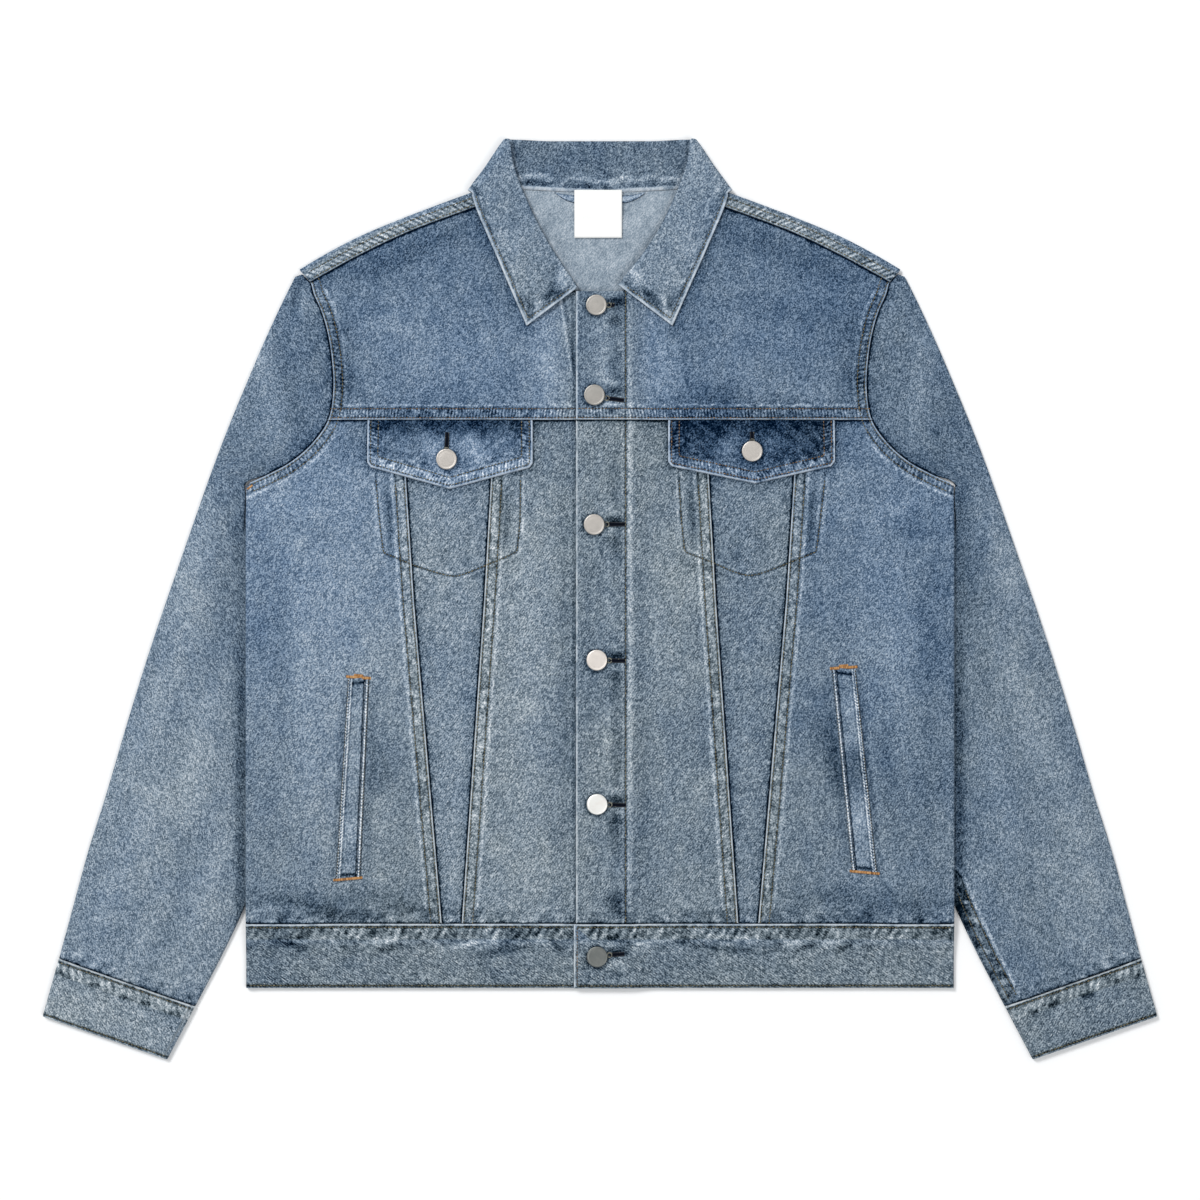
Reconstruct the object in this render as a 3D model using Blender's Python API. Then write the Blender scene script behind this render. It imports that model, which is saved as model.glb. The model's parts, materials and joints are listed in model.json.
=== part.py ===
"""A denim jacket laid flat on its back, +Z up and +Y towards the collar.

Every piece that is cut and sewn is one closed solid: a wall of cloth with its true outline.
A wall is a grid of points on the cloth's outer face, offset inwards by the cloth's thickness.
Lengths in this file are millimetres; "right" and "left" are the wearer's, and right is -X.
Points of paired pieces are given for the left one (+X) and mirrored for the right one.
"""

import math

import bmesh
import bpy
import numpy as np

MM = 0.001

# ---- Driving dimensions -------------------------------------------------------------------
CLOTH = 1.2             # one layer of denim
BAND = 2.0              # folded denim: waistband, cuffs and button plackets
COLLAR_CLOTH = 1.4
GAP = 0.3               # between two pieces that are sewn together
LAYERS = 4.0            # outer face of the back to outer face of a front
RIDGE = 0.8             # height of a felled seam above the cloth

SIDE = 290.3            # half of the chest's width
SIDE_SEAM = 284.0       # the side seam lies underneath
WAIST_SEAM = -265.3
HEM = -318.2
YOKE_SEAM = 147.6
ARMPIT = 94.35

FELL = 10.0             # width of a felled seam
FELL_FOOT = 1.5         # where it runs out to the cloth
ARM_FELL = 9.0
FELL_FADES = (90.0, 100.0)  # the panels' felled seams lie flat above this y, under the pocket flaps

LAP_EDGE = -19.7        # the left front's folded edge
BAND_END = -21.5        # the left end of the waistband
LAP_STITCH = 21.0       # where its placket is sewn down
LAP_FOOT = 45.0         # where it lies on the same level as the right front
UNDER_EDGE = -12.0      # the right front's folded edge, measured from the centre to its own side
UNDER_STITCH = 29.0

# The sides lie on the sleeves: how high, and where that begins and is complete, in x and in y
SLEEVE_LIFT = 4.6
SLEEVE_LIFT_X = (210.0, 250.0)
SLEEVE_LIFT_TOP = (ARMPIT, 60.0)
SLEEVE_LIFT_FOOT = (-300.0, -252.0)
# The back of the neck lies on the collar's leaf in the same way
LEAF_LIFT = 2.0
LEAF_LIFT_X = (150.0, 112.0)
LEAF_LIFT_Y = (285.0, 310.0)
LAP_LIFT = (BAND + GAP) + (BAND - CLOTH)    # the left placket lies on the right one

SIDES = {"right": -1.0, "left": 1.0}

# The armhole, from the armpit to the tip of the shoulder: x, y
ARMHOLE = np.array([
    (291.2, 94.5), (272.8, 102.7), (252.4, 114.0), (236.2, 128.2), (222.9, 147.6), (218.8, 171.1),
    (219.8, 196.8), (223.5, 219.9), (228.5, 236.8), (234.8, 251.2), (237.6, 260.7), (247.3, 270.8)])

# The shoulder, from its tip to the neck: the upper edge x, y and the seam in front of it x, y
SHOULDER = np.array([
    (246.5, 271.3, 237.6, 260.7), (226.0, 283.4, 215.0, 273.5), (201.4, 296.4, 190.0, 286.6),
    (160.6, 313.8, 160.6, 300.5), (108.6, 333.0, 105.5, 320.9), (92.0, 339.0, 90.0, 326.6)])

# The neckline of a front, from the end of the collar to the shoulder seam: x, y
FRONT_NECK = np.array([
    (20.0, 254.0), (35.0, 262.0), (50.0, 270.0), (61.0, 281.0), (72.0, 292.0), (80.0, 305.0), (88.0, 318.0),
    (90.0, 326.6)])
LAP_TOP = 252.9         # the placket's upper end

# The neckline of the back, from the middle to the shoulder: x, y
BACK_NECK = np.array([(0.0, 333.7), (32.0, 335.0), (64.0, 336.7), (92.0, 339.0)])

# The two slanting seams of a front: y, x of the outer seam, x of the inner seam
PANEL_SEAMS = np.array([
    (WAIST_SEAM, 129.6, 113.5), (0.0, 152.5, 95.1), (100.0, 159.0, 89.4), (YOKE_SEAM, 163.0, 87.0)])

# The sleeve below the armpit: inner edge x, y and y of the point on the outer edge across it
SLEEVE_BELOW = np.array([
    (290.9, 86.0, 90.0), (290.9, 77.0, 82.0), (290.9, 60.0, 66.0), (276.0, 20.0, 34.0), (259.0, -40.0, -14.0),
    (254.0, -90.0, -52.0), (260.0, -150.0, -108.0), (275.0, -205.0, -162.0), (290.9, -250.0, -206.0),
    (310.0, -291.0, -250.0), (332.1, -333.3, -293.9)])
# y on the outer edge across each point of the armhole, from the armpit to the tip
SLEEVE_ACROSS = np.array([97.0, 112.0, 128.0, 145.0, 163.0, 183.0, 203.0, 222.0, 236.0, 247.0, 256.0, 265.0])
SLEEVE_OUTER = np.array([
    (443.9, -293.9), (433.0, -253.8), (417.4, -197.3), (402.7, -151.3), (388.1, -101.1), (369.2, -40.4),
    (344.2, 32.8), (303.4, 145.6), (291.2, 175.1), (272.8, 218.0), (258.5, 248.5), (247.3, 270.8)])
SLEEVE_PUFF = 2.0       # how far the sleeve's middle stands above its folds
PUFF_RISE = 24.0        # the way that this takes from a fold
PUFF_CLEAR = 296.0      # x that the body covers the sleeve to

# The cuff's four corners: x, y at the inner and at the outer end
CUFF_SEAM = np.array([(332.1, -333.3), (443.9, -293.9)])
CUFF_HEM = np.array([(354.9, -376.7), (457.2, -341.2)])
CUFF_HEIGHT = 5.0
CUFF_ALONG = (CUFF_SEAM[1] - CUFF_SEAM[0]) / np.linalg.norm(CUFF_SEAM[1] - CUFF_SEAM[0])
CUFF_TOWARDS_SLEEVE = np.array((-CUFF_ALONG[1], CUFF_ALONG[0]))

# The collar from its front end to the turn over the shoulder: x, y of the seam, of the roll and of
# the leaf's edge, and how far the roll and the edge lie nearer the right side on both sides
COLLAR_FRONT = np.array([
    (20.0, 254.0, 16.7, 258.1, 59.7, 224.8, 2.2, 0.4), (35.0, 262.0, 25.5, 270.0, 69.0, 246.0, 1.5, 0.3),
    (50.0, 270.0, 35.0, 283.0, 77.5, 265.5, 0.8, 0.2), (61.0, 281.0, 41.8, 293.2, 84.0, 280.4, 0.4, 0.0),
    (72.0, 292.0, 48.5, 304.8, 90.0, 294.2, 0.0, 0.0), (80.0, 305.0, 54.3, 315.7, 95.0, 305.6, 0.0, 0.0),
    (88.0, 318.0, 60.0, 328.5, 99.5, 316.0, 0.0, 0.0), (89.7, 326.6, 66.3, 343.5, 102.5, 324.0, 0.0, 0.0),
    (90.5, 332.0, 71.3, 358.5, 104.5, 330.5, 0.0, 0.0)])
# The turn: the point that it turns about, and the angle in plan of the way out, for each of the three
COLLAR_TURN = {"seam": (89.6, 337.6, 70.0), "roll": (74.6, 374.6, 30.0), "edge": (105.0, 333.8, 36.0)}
COLLAR_BACK = np.array([
    (64.0, 336.7, 56.0, 376.7, 80.0, 327.5), (32.0, 335.0, 28.0, 376.0, 40.0, 323.2),
    (0.0, 333.7, 0.0, 375.7, 0.0, 322.0)])
COLLAR_ROLL = 1.4       # radius of the roll, at the middle of the cloth
# Heights of the middle of the collar's cloth at the seam, at the stand's end and at the leaf's edge
STAND_OVER_FRONT = 5.9
STAND_BEHIND = (2.6, 3.5, COLLAR_CLOTH / 2)
# The turn's middle height and radius, for each of the three
TURN_RISE = {"seam": (4.0, 1.6), "roll": (4.7, 1.2), "edge": (4.25, 3.55)}
CLEAR_OF_FRONT = COLLAR_CLOTH / 2 + GAP + 0.1
STRIP_FROM = (296.0, 310.0)     # y where the leaf begins to lie on the shoulder's felled seam
TURN_ANGLES = (15.0, 50.0, 90.0, 130.0, 165.0)

# Chest flaps: the corners of the left and of the right one, as x outwards and y, from the upper
# inner corner round the point
FLAP = {"left": ((55.8, 147.3), (55.8, 115.0), (60.0, 110.7), (127.2, 95.4), (188.0, 110.7), (192.5, 115.5),
                 (192.5, 147.3)),
        "right": ((55.1, 147.3), (55.1, 114.0), (59.0, 109.6), (123.2, 90.9), (186.5, 110.0), (190.7, 114.5),
                  (190.7, 147.3))}
FLAP_CLOTH = 1.7
FLAP_EDGE = 0.5

# Hand pocket welts: y and x of both edges at the upper and at the lower end
WELT = {"left": ((-55.0, 189.6, 209.8), (-222.6, 206.3, 227.3)),
        "right": ((-63.0, 189.0, 206.8), (-228.0, 196.3, 216.9))}
WELT_CLOTH = 1.2
WELT_LIP = 3.0          # width of the raised edge on either side
WELT_RIDGE = 0.5
WELT_TILT = 0.11        # the ends run down towards the side
CLEAR_OF_CLOTH = GAP + 0.1

BUTTON_RADIUS = 8.5
BUTTON_HEIGHT = 2.4
FRONT_BUTTONS = ((-3.0, 241.5), (-4.6, 167.9), (-4.8, 61.8), (-2.6, -49.2), (-2.4, -167.2), (-2.4, -292.0))
FLAP_BUTTONS = {"left": (124.6, 121.9), "right": (-125.7, 115.4)}

LABEL_X = (-21.0, 18.0)
LABEL_Y = (336.0, 297.0)
LABEL_CLOTH = 1.0
LOOP_HALF = 36.0
LOOP_WIDTH = 6.0
LOOP_DROP = 6.0
LOOP_CLOTH = 1.0
LABEL_STEP = (308.0, 320.0)     # y where the label climbs over the loop
LOOP_TOP = 332.8


# ---- Materials ----------------------------------------------------------------------------
def material(name, colour, roughness, metallic=0.0):
    """A plain Principled material; colour is linear red, green, blue."""
    made = bpy.data.materials.new(name)
    made.use_nodes = True
    shader = made.node_tree.nodes["Principled BSDF"]
    shader.inputs["Base Color"].default_value = (*colour, 1.0)
    shader.inputs["Roughness"].default_value = roughness
    shader.inputs["Metallic"].default_value = metallic
    made.diffuse_color = (*colour, 1.0)
    return made


def make_materials():
    return {
        "denim": material("denim", (0.16, 0.23, 0.33), 0.9),
        "faded": material("faded_denim", (0.22, 0.28, 0.35), 0.9),
        "dark": material("dark_denim", (0.04, 0.08, 0.16), 0.9),
        "band": material("band_denim", (0.15, 0.20, 0.27), 0.9),
        "satin": material("label_satin", (0.9, 0.9, 0.88), 0.6),
        "nickel": material("nickel", (0.55, 0.52, 0.49), 0.35, 1.0),
    }


# ---- Heights ------------------------------------------------------------------------------
def smooth(t):
    """Rises softly from 0 to 1 while t goes from 0 to 1."""
    t = np.clip(t, 0.0, 1.0)
    return t * t * (3.0 - 2.0 * t)


def between(value, limits):
    """Rises softly from 0 to 1 while a value goes from the first limit to the second."""
    return smooth((value - limits[0]) / (limits[1] - limits[0]))


def lift(x, y):
    """Height of the back's outer face: over the sleeves that lie under the sides, and over the
    collar's leaf behind the neck."""
    out = np.abs(x)
    over_sleeve = between(out, SLEEVE_LIFT_X) * between(y, SLEEVE_LIFT_TOP) * between(y, SLEEVE_LIFT_FOOT)
    over_leaf = between(out, LEAF_LIFT_X) * between(y, LEAF_LIFT_Y)
    return SLEEVE_LIFT * over_sleeve + LEAF_LIFT * over_leaf


def lap(side, x, y):
    """How far a front's placket is raised: the left one over the right one, by its own cloth."""
    if side > 0:
        return LAP_LIFT * between(x, (LAP_FOOT, LAP_STITCH))
    return (BAND - CLOTH) * between(-x, (UNDER_STITCH + 1.0, UNDER_STITCH - 0.5))


def front_top(side, x, y):
    """Height of a front's outer face, without its felled seams."""
    return lift(x, y) + LAYERS + lap(side, x, y)


def at(table, y, column):
    """A column of a table whose first column is y, at any y."""
    order = np.argsort(table[:, 0])
    return np.interp(y, table[order, 0], table[order, column])


def arm_x(y):
    """The armhole's x at a height on the body."""
    return np.interp(y, ARMHOLE[:, 1], ARMHOLE[:, 0])


# ---- Walls of cloth -----------------------------------------------------------------------
class Sheet:
    """The outer face of a piece of cloth: grids of points, welded where they touch. Each point
    also has the cloth's thickness under it and the height that sewing raises it by."""

    def __init__(self):
        self.points, self.thick, self.raised, self.faces = [], [], [], []
        self.known = {}

    def index(self, point, thick, raised):
        key = tuple(round(float(value), 3) for value in point)
        if key not in self.known:
            self.known[key] = len(self.points)
            self.points.append(point)
            self.thick.append(thick)
            self.raised.append(raised)
        return self.known[key]

    def add(self, grid, thick=CLOTH, raised=0.0):
        """Adds a grid whose rows cross its columns anticlockwise, seen from outside."""
        grid = np.asarray(grid, float)
        rows, columns = grid.shape[:2]
        thick = np.broadcast_to(thick, (rows, columns))
        raised = np.broadcast_to(raised, (rows, columns))
        ids = [[self.index(*one) for one in zip(*line)] for line in zip(grid, thick, raised)]
        for r in range(rows - 1):
            for c in range(columns - 1):
                face = dict.fromkeys((ids[r][c], ids[r + 1][c], ids[r + 1][c + 1], ids[r][c + 1]))
                if len(face) > 2:
                    self.faces.append(tuple(face))
        return self

    def normals(self):
        points = np.array(self.points)
        sums = np.zeros_like(points)
        for face in self.faces:
            corners = points[list(face)]
            area = np.cross(corners[2] - corners[0], corners[-1] - corners[1])
            for corner in face:
                sums[corner] += area
        return sums / np.linalg.norm(sums, axis=1)[:, None]

    def wall(self, name, finish):
        """Makes the solid: the outer face, the inner face and a rim along every free edge."""
        points, normals, count = np.array(self.points), self.normals(), len(self.points)
        outer = points + normals * np.array(self.raised)[:, None]
        inner = points - normals * np.array(self.thick)[:, None]
        faces = list(self.faces) + [tuple(corner + count for corner in reversed(face)) for face in self.faces]
        edges = [(face[i - 1], face[i]) for face in self.faces for i in range(len(face))]
        known = set(edges)
        faces += [(b, a, a + count, b + count) for a, b in edges if (b, a) not in known]
        return solid(name, np.vstack((outer, inner)), faces, finish)


def solid(name, points, faces, finish, crease=40.0):
    """One object from points in millimetres and faces, with its normals pointing out."""
    mesh = bpy.data.meshes.new(name)
    mesh.from_pydata((np.asarray(points) * MM).tolist(), [], faces)
    work = bmesh.new()
    work.from_mesh(mesh)
    bmesh.ops.recalc_face_normals(work, faces=work.faces)
    work.to_mesh(mesh)
    work.free()
    mesh.shade_smooth()
    mesh.set_sharp_from_angle(angle=math.radians(crease))
    mesh.materials.append(finish)
    made = bpy.data.objects.new(name, mesh)
    bpy.context.scene.collection.objects.link(made)
    return made


def mirrored(side, grid):
    """A left piece's grid, or its mirror image for the right side with the columns turned round."""
    grid = np.array(grid, float)
    if side > 0:
        return grid
    grid[..., 0] *= -1.0
    return grid[:, ::-1]


def patch(bottom, top, start, end, across, along):
    """A surface between four edges, each a row of points: every point is the blend of the two
    points across, plus the blend along, less the blend of the corners."""
    u = np.asarray(across)[None, :, None]
    v = np.asarray(along)[:, None, None]
    rows = (1 - v) * bottom[None] + v * top[None]
    columns = (1 - u) * start[:, None] + u * end[:, None]
    corners = ((1 - v) * ((1 - u) * bottom[0] + u * bottom[-1]) + v * ((1 - u) * top[0] + u * top[-1]))
    return rows + columns - corners


def moved_out(line, distance):
    """A plan polyline moved to its right-hand side by a distance."""
    steps = np.gradient(line, axis=0)
    way = np.stack((steps[:, 1], -steps[:, 0]), axis=1)
    return line + distance * way / np.linalg.norm(way, axis=1)[:, None]


def with_height(plan, height):
    return np.concatenate((plan, np.broadcast_to(height, plan.shape[:-1])[..., None]), axis=-1)


# ---- Fronts -------------------------------------------------------------------------------
PANEL_ROWS = (YOKE_SEAM - GAP / 2, 128.2, 114.0, 102.7, ARMPIT, 83.0, 71.0, 58.0, 0.0, -60.0, -120.0, -180.0,
              -230.0, -252.0, WAIST_SEAM + GAP / 2)


def seam_ridge(y):
    """A panel's felled seam lies flat where the pocket flap covers it."""
    return RIDGE * float(np.interp(y, FELL_FADES, (1.0, 0.0)))


def placket_columns(side):
    """Distances from the centre, from the folded edge across the placket to its stitching."""
    edge = LAP_EDGE if side > 0 else UNDER_EDGE
    stitch = LAP_STITCH if side > 0 else UNDER_STITCH
    return np.array([edge, (edge + stitch) / 2, stitch - 0.5, stitch + 0.7])


def placket_cloth(columns):
    """The folded placket is thicker than the panel that it is sewn to."""
    thick = np.full(len(columns), CLOTH)
    thick[:3] = BAND
    return thick


def centre_front(word, finish):
    """Between the front edge and the inner slanting seam."""
    side = SIDES[word]
    placket = placket_columns(side)
    grid, raised = [], []
    for y in PANEL_ROWS:
        seam = float(at(PANEL_SEAMS, y, 2)) - GAP / 2
        ramp = np.linspace(placket[-1], LAP_FOOT, 5)[1:]
        x = np.concatenate((placket, ramp, (seam - FELL - FELL_FOOT, seam - FELL, seam)))
        grid.append(np.stack((x, np.full(len(x), y), front_top(side, side * x, y)), axis=1))
        raised.append(np.concatenate((np.zeros(len(x) - 2), (seam_ridge(y),) * 2)))
    thick = np.broadcast_to(placket_cloth(x), (len(grid), len(x)))
    raised = np.array(raised)
    if side < 0:
        thick, raised = thick[:, ::-1], raised[:, ::-1]
    Sheet().add(mirrored(side, grid), thick, raised).wall(f"centre_front_{word}", finish)


def pocket_panel(word, finish):
    """The V panel between the two slanting seams."""
    side = SIDES[word]
    grid = []
    for y in PANEL_ROWS:
        ends = at(PANEL_SEAMS, y, 2) + GAP / 2, at(PANEL_SEAMS, y, 1) - GAP / 2
        x = np.linspace(*ends, 4)
        grid.append(np.stack((x, np.full(4, y), front_top(side, side * x, y)), axis=1))
    Sheet().add(mirrored(side, grid)).wall(f"pocket_panel_{word}", finish)


SIDE_SPREAD = np.array([0.0, 0.22, 0.42, 0.52, 0.61, 0.7, 0.8, 0.9, 1.0])


def fold_angles(count=4):
    return np.radians(np.linspace(0.0, 180.0, count + 1))


def side_front(word, finish):
    """From the outer slanting seam to the armhole, and below it round the side to the side seam."""
    side = SIDES[word]
    radius = LAYERS / 2
    flat, raised, rolled = [], [], []
    for y in PANEL_ROWS:
        seam = float(at(PANEL_SEAMS, y, 1)) + GAP / 2
        above = y > ARMPIT
        edge = float(arm_x(y)) - GAP / 2 if above else SIDE - radius
        inside = seam + FELL + FELL_FOOT
        outside = edge - ARM_FELL - FELL_FOOT
        plain = inside + (outside - inside) * SIDE_SPREAD
        x = np.concatenate(((seam, seam + FELL), plain, (edge - ARM_FELL, edge)))
        flat.append(np.stack((x, np.full(len(x), y), front_top(side, side * x, y)), axis=1))
        ridge, arm_ridge = seam_ridge(y), RIDGE if above else 0.0
        raised.append(np.concatenate(((ridge, ridge), np.zeros(len(SIDE_SPREAD)), (arm_ridge, arm_ridge))))
        if not above:
            angles = fold_angles()
            low = lift(edge, y)
            x = np.append(edge + radius * np.sin(angles), SIDE_SEAM + GAP / 2)
            z = np.append(low + radius + radius * np.cos(angles), lift(SIDE_SEAM, y))
            z[0] = flat[-1][-1, 2]
            rolled.append(np.stack((x, np.full(len(x), y), z), axis=1))
    raised = np.array(raised)
    if side < 0:
        raised = raised[:, ::-1]
    sheet = Sheet().add(mirrored(side, flat), CLOTH, raised).add(mirrored(side, rolled))
    sheet.wall(f"side_front_{word}", finish)


def yoke(word, finish):
    """From the chest seam to the shoulder seam and the neckline."""
    side = SIDES[word]
    placket = placket_columns(side)
    half = GAP / 2
    armhole = ARMHOLE[4:11] + (-half, 0.0)
    band_rows = np.array([YOKE_SEAM + half, YOKE_SEAM + half + FELL, YOKE_SEAM + half + FELL + FELL_FOOT])
    seam_line = SHOULDER[:, 2:][::-1]
    shoulder = moved_out(seam_line, half)
    shoulder[-1] = armhole[-1] + (0.0, -half)
    neck = moved_out(FRONT_NECK, half)[:-1]
    lap_top = np.stack((placket, np.full(4, LAP_TOP)), axis=1)
    along_seam = (shoulder[-2] - shoulder[-1]) / np.linalg.norm(shoulder[-2] - shoulder[-1])
    near_arm = shoulder[-1] + np.outer((ARM_FELL + FELL_FOOT, ARM_FELL), along_seam)
    top = np.vstack((lap_top[:3], lap_top[3:] + (0.0, 1.0), neck[1:], shoulder[:-1], near_arm, shoulder[-1:]))
    inner_count = len(top) - len(placket) - 3
    ramp = np.linspace(placket[-1], LAP_FOOT, 4)[1:]

    def row(y):
        edge = float(arm_x(y)) - half
        rest = np.linspace(ramp[-1], edge - ARM_FELL - FELL_FOOT, inner_count - len(ramp) + 2)[1:]
        x = np.concatenate((placket, ramp, rest, (edge - ARM_FELL, edge)))
        return np.stack((x, np.full(len(x), y)), axis=1)

    band = np.array([row(y) for y in band_rows])
    bottom = band[-1]
    along_arm = np.vstack((bottom[-1], armhole[1:]))
    rise = (along_arm[:, 1] - along_arm[0, 1]) / (along_arm[-1, 1] - along_arm[0, 1])
    start = bottom[0] + rise[:, None] * (top[0] - bottom[0])
    across = (bottom[:, 0] - bottom[0, 0]) / (bottom[-1, 0] - bottom[0, 0])
    body = patch(bottom, top, start, along_arm, across, rise)

    def lay(plan, ridge_rows):
        height = front_top(side, side * plan[..., 0], plan[..., 1])
        raised = np.zeros(plan.shape[:2])
        raised[:, -2:] = RIDGE
        raised[:ridge_rows] = RIDGE
        if side < 0:
            raised[:, :len(placket)] = 0.0
        thick = np.broadcast_to(placket_cloth(plan[0]), raised.shape)
        grid = with_height(plan, height)[::-1]
        raised, thick = raised[::-1], thick[::-1]
        if side < 0:
            raised, thick = raised[:, ::-1], thick[:, ::-1]
        return mirrored(side, grid), thick, raised

    Sheet().add(*lay(band, 2)).add(*lay(body, 0)).wall(f"yoke_{word}", finish)


# ---- Back ---------------------------------------------------------------------------------
BACK_SPREAD = np.array([0.0, 60.0, 120.0, 165.0, 200.0, 218.0, 236.0, 256.0]) / SIDE_SEAM
BACK_ROWS = (WAIST_SEAM + GAP / 2, -252.0, -230.0, -160.0, -80.0, 0.0, 58.0, 71.0, 83.0, 97.7, 102.7, 114.0,
             128.2, YOKE_SEAM)


def two_sided(half):
    """A row of points given from the middle outwards, completed on the other side."""
    other = half[:0:-1] * np.where(np.arange(half.shape[1]) == 0, -1.0, 1.0)
    return np.vstack((other, half))


def back(finish):
    """Face down from the waistband to the neck, then rolled over the shoulders to their seams."""
    half = GAP / 2
    radius = LAYERS / 2
    spread = np.append(BACK_SPREAD, 1.0)
    lower = []
    for y in BACK_ROWS:
        edge = (SIDE_SEAM if y < ARMHOLE[1, 1] - 1 else float(arm_x(y))) - half
        lower.append(two_sided(np.stack((edge * spread, np.full(len(spread), y)), axis=1)))
    lower = np.array(lower)

    shoulder = SHOULDER[::-1]
    upper_edge = shoulder[:, :2]
    steps = np.gradient(upper_edge, axis=0)
    way_out = np.stack((-steps[:, 1], steps[:, 0]), axis=1) / np.linalg.norm(steps, axis=1)[:, None]
    start_of_roll = upper_edge - radius * way_out
    top = two_sided(np.vstack((BACK_NECK[:-1] - (0.0, half), start_of_roll)))
    bottom = lower[-1]
    arm = np.vstack((bottom[-1], ARMHOLE[5:11] - (half, 0.0), top[-1]))
    rise = (arm[:, 1] - arm[0, 1]) / (arm[-1, 1] - arm[0, 1])
    other_arm = arm * (-1.0, 1.0)
    across = (bottom[:, 0] - bottom[0, 0]) / (bottom[-1, 0] - bottom[0, 0])
    upper = patch(bottom, top, other_arm, arm, across, rise)

    sheet = Sheet()
    for plan in (lower, upper):
        sheet.add(with_height(plan, lift(plan[..., 0], plan[..., 1])))
    seam_edge = moved_out(shoulder[:, 2:], -half)
    seam_edge[-1] = ARMHOLE[10] + (-half, half)
    for side in SIDES.values():
        rows = []
        heights = lift(start_of_roll[:, 0], start_of_roll[:, 1])
        for angle in fold_angles():
            plan = start_of_roll + radius * math.sin(angle) * way_out
            rows.append(with_height(plan, heights + radius - radius * math.cos(angle)))
        rows = np.array(rows)
        rows[-1, :, 2] = heights + LAYERS
        middle = 0.25 * seam_edge + 0.75 * start_of_roll
        strip = [rows[-1]]
        for plan in (middle, seam_edge):
            strip.append(with_height(plan, lift(plan[:, 0], plan[:, 1]) + LAYERS))
        raised = np.array([0.0, RIDGE, RIDGE])[:, None]
        grids = [(rows, 0.0), (np.array(strip), np.broadcast_to(raised, (3, len(middle))))]
        for grid, ridge in grids:
            grid = mirrored(side, grid)
            sheet.add(grid, CLOTH, ridge)
    sheet.wall("back", finish)


# ---- Sleeves and cuffs --------------------------------------------------------------------
SLEEVE_SPREAD = np.linspace(0.0, 1.0, 7)


def sleeve_ring(inner, outer, closed, hidden):
    """Outer points of one ring: from the inner edge over the top, round the outer fold and back
    underneath. closed is 0 for a ring that ends at the armhole and 1 for one whose two ends meet
    in a fold at the inner edge."""
    way = (outer - inner) / np.linalg.norm(outer - inner)
    radius = LAYERS / 2 - 0.05 * closed
    length = np.linalg.norm(outer - inner)
    foot = min(radius, 0.3 * length)
    span = length - foot - radius
    angles = fold_angles()[1:-1]
    along = foot + span * SLEEVE_SPREAD
    plan = inner + along[:, None] * way
    room = np.minimum(along, np.abs(plan[:, 0]) - PUFF_CLEAR) if hidden else along
    puff = SLEEVE_PUFF * smooth(room / PUFF_RISE) * smooth((length - along) / PUFF_RISE)
    top = with_height(plan, 2 * radius + puff)
    under = with_height(plan, 0.0)[::-1]
    centre = outer - radius * way
    fold = np.array([(*(centre + radius * math.sin(a) * way), radius + radius * math.cos(a)) for a in angles])
    turns = np.radians((0.0, 45.0))
    folded = np.array([(*(inner + radius * (1 - math.cos(a)) * way), radius * (1 + math.sin(a))) for a in turns])
    flat = np.array([(*(inner + t * foot * way), 2 * radius) for t in (0.0, 0.5)])
    start = closed * folded + (1.0 - closed) * flat
    end = start[::-1] * (1.0, 1.0, -1.0) + (0.0, 0.0, 2 * radius)
    return np.vstack((start, top, fold, under, end))


def outer_edge(y):
    order = np.argsort(SLEEVE_OUTER[:, 1])
    return np.array([np.interp(y, SLEEVE_OUTER[order, 1], SLEEVE_OUTER[order, 0]), y])


def sleeve(word, finish):
    side = SIDES[word]
    arm = ARMHOLE.copy()
    arm[-1] = 0.65 * ARMHOLE[-1] + 0.35 * ARMHOLE[-2]
    arm = moved_out(arm, GAP)
    rings = []
    for point, across in zip(arm[::-1], SLEEVE_ACROSS[::-1]):
        rings.append(sleeve_ring(point, outer_edge(across), 0.0, False))
    for row, (x, y, across) in enumerate(SLEEVE_BELOW[:-1]):
        rings.append(sleeve_ring(np.array((x, y)), outer_edge(across), 1.0 if row else 0.5, True))
    seam = CUFF_SEAM + CUFF_TOWARDS_SLEEVE * GAP
    rings.append(sleeve_ring(seam[0], seam[1], 1.0, True))
    Sheet().add(mirrored(side, np.array(rings))).wall(f"sleeve_{word}", finish)


def cuff(word, finish):
    """A flattened ring of folded cloth."""
    side = SIDES[word]
    radius = CUFF_HEIGHT / 2
    rings = []
    for t in (0.0, 0.08, 0.5, 0.92, 1.0):
        inner, outer = CUFF_SEAM * (1 - t) + CUFF_HEM * t
        way = (outer - inner) / np.linalg.norm(outer - inner)
        length = np.linalg.norm(outer - inner)
        plan = inner + np.linspace(radius, length - radius, 5)[:, None] * way
        angles = np.radians(np.linspace(0.0, 180.0, 6))[1:-1]
        far = [(*(outer + radius * (math.sin(a) - 1) * way), radius + radius * math.cos(a)) for a in angles]
        near = [(*(inner - radius * (math.sin(a) - 1) * way), radius - radius * math.cos(a)) for a in angles]
        ring = np.vstack((with_height(plan, CUFF_HEIGHT), far, with_height(plan, 0.0)[::-1], near))
        rings.append(np.vstack((ring, ring[:1])))
    Sheet().add(mirrored(side, np.array(rings)), BAND).wall(f"cuff_{word}", finish)


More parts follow.
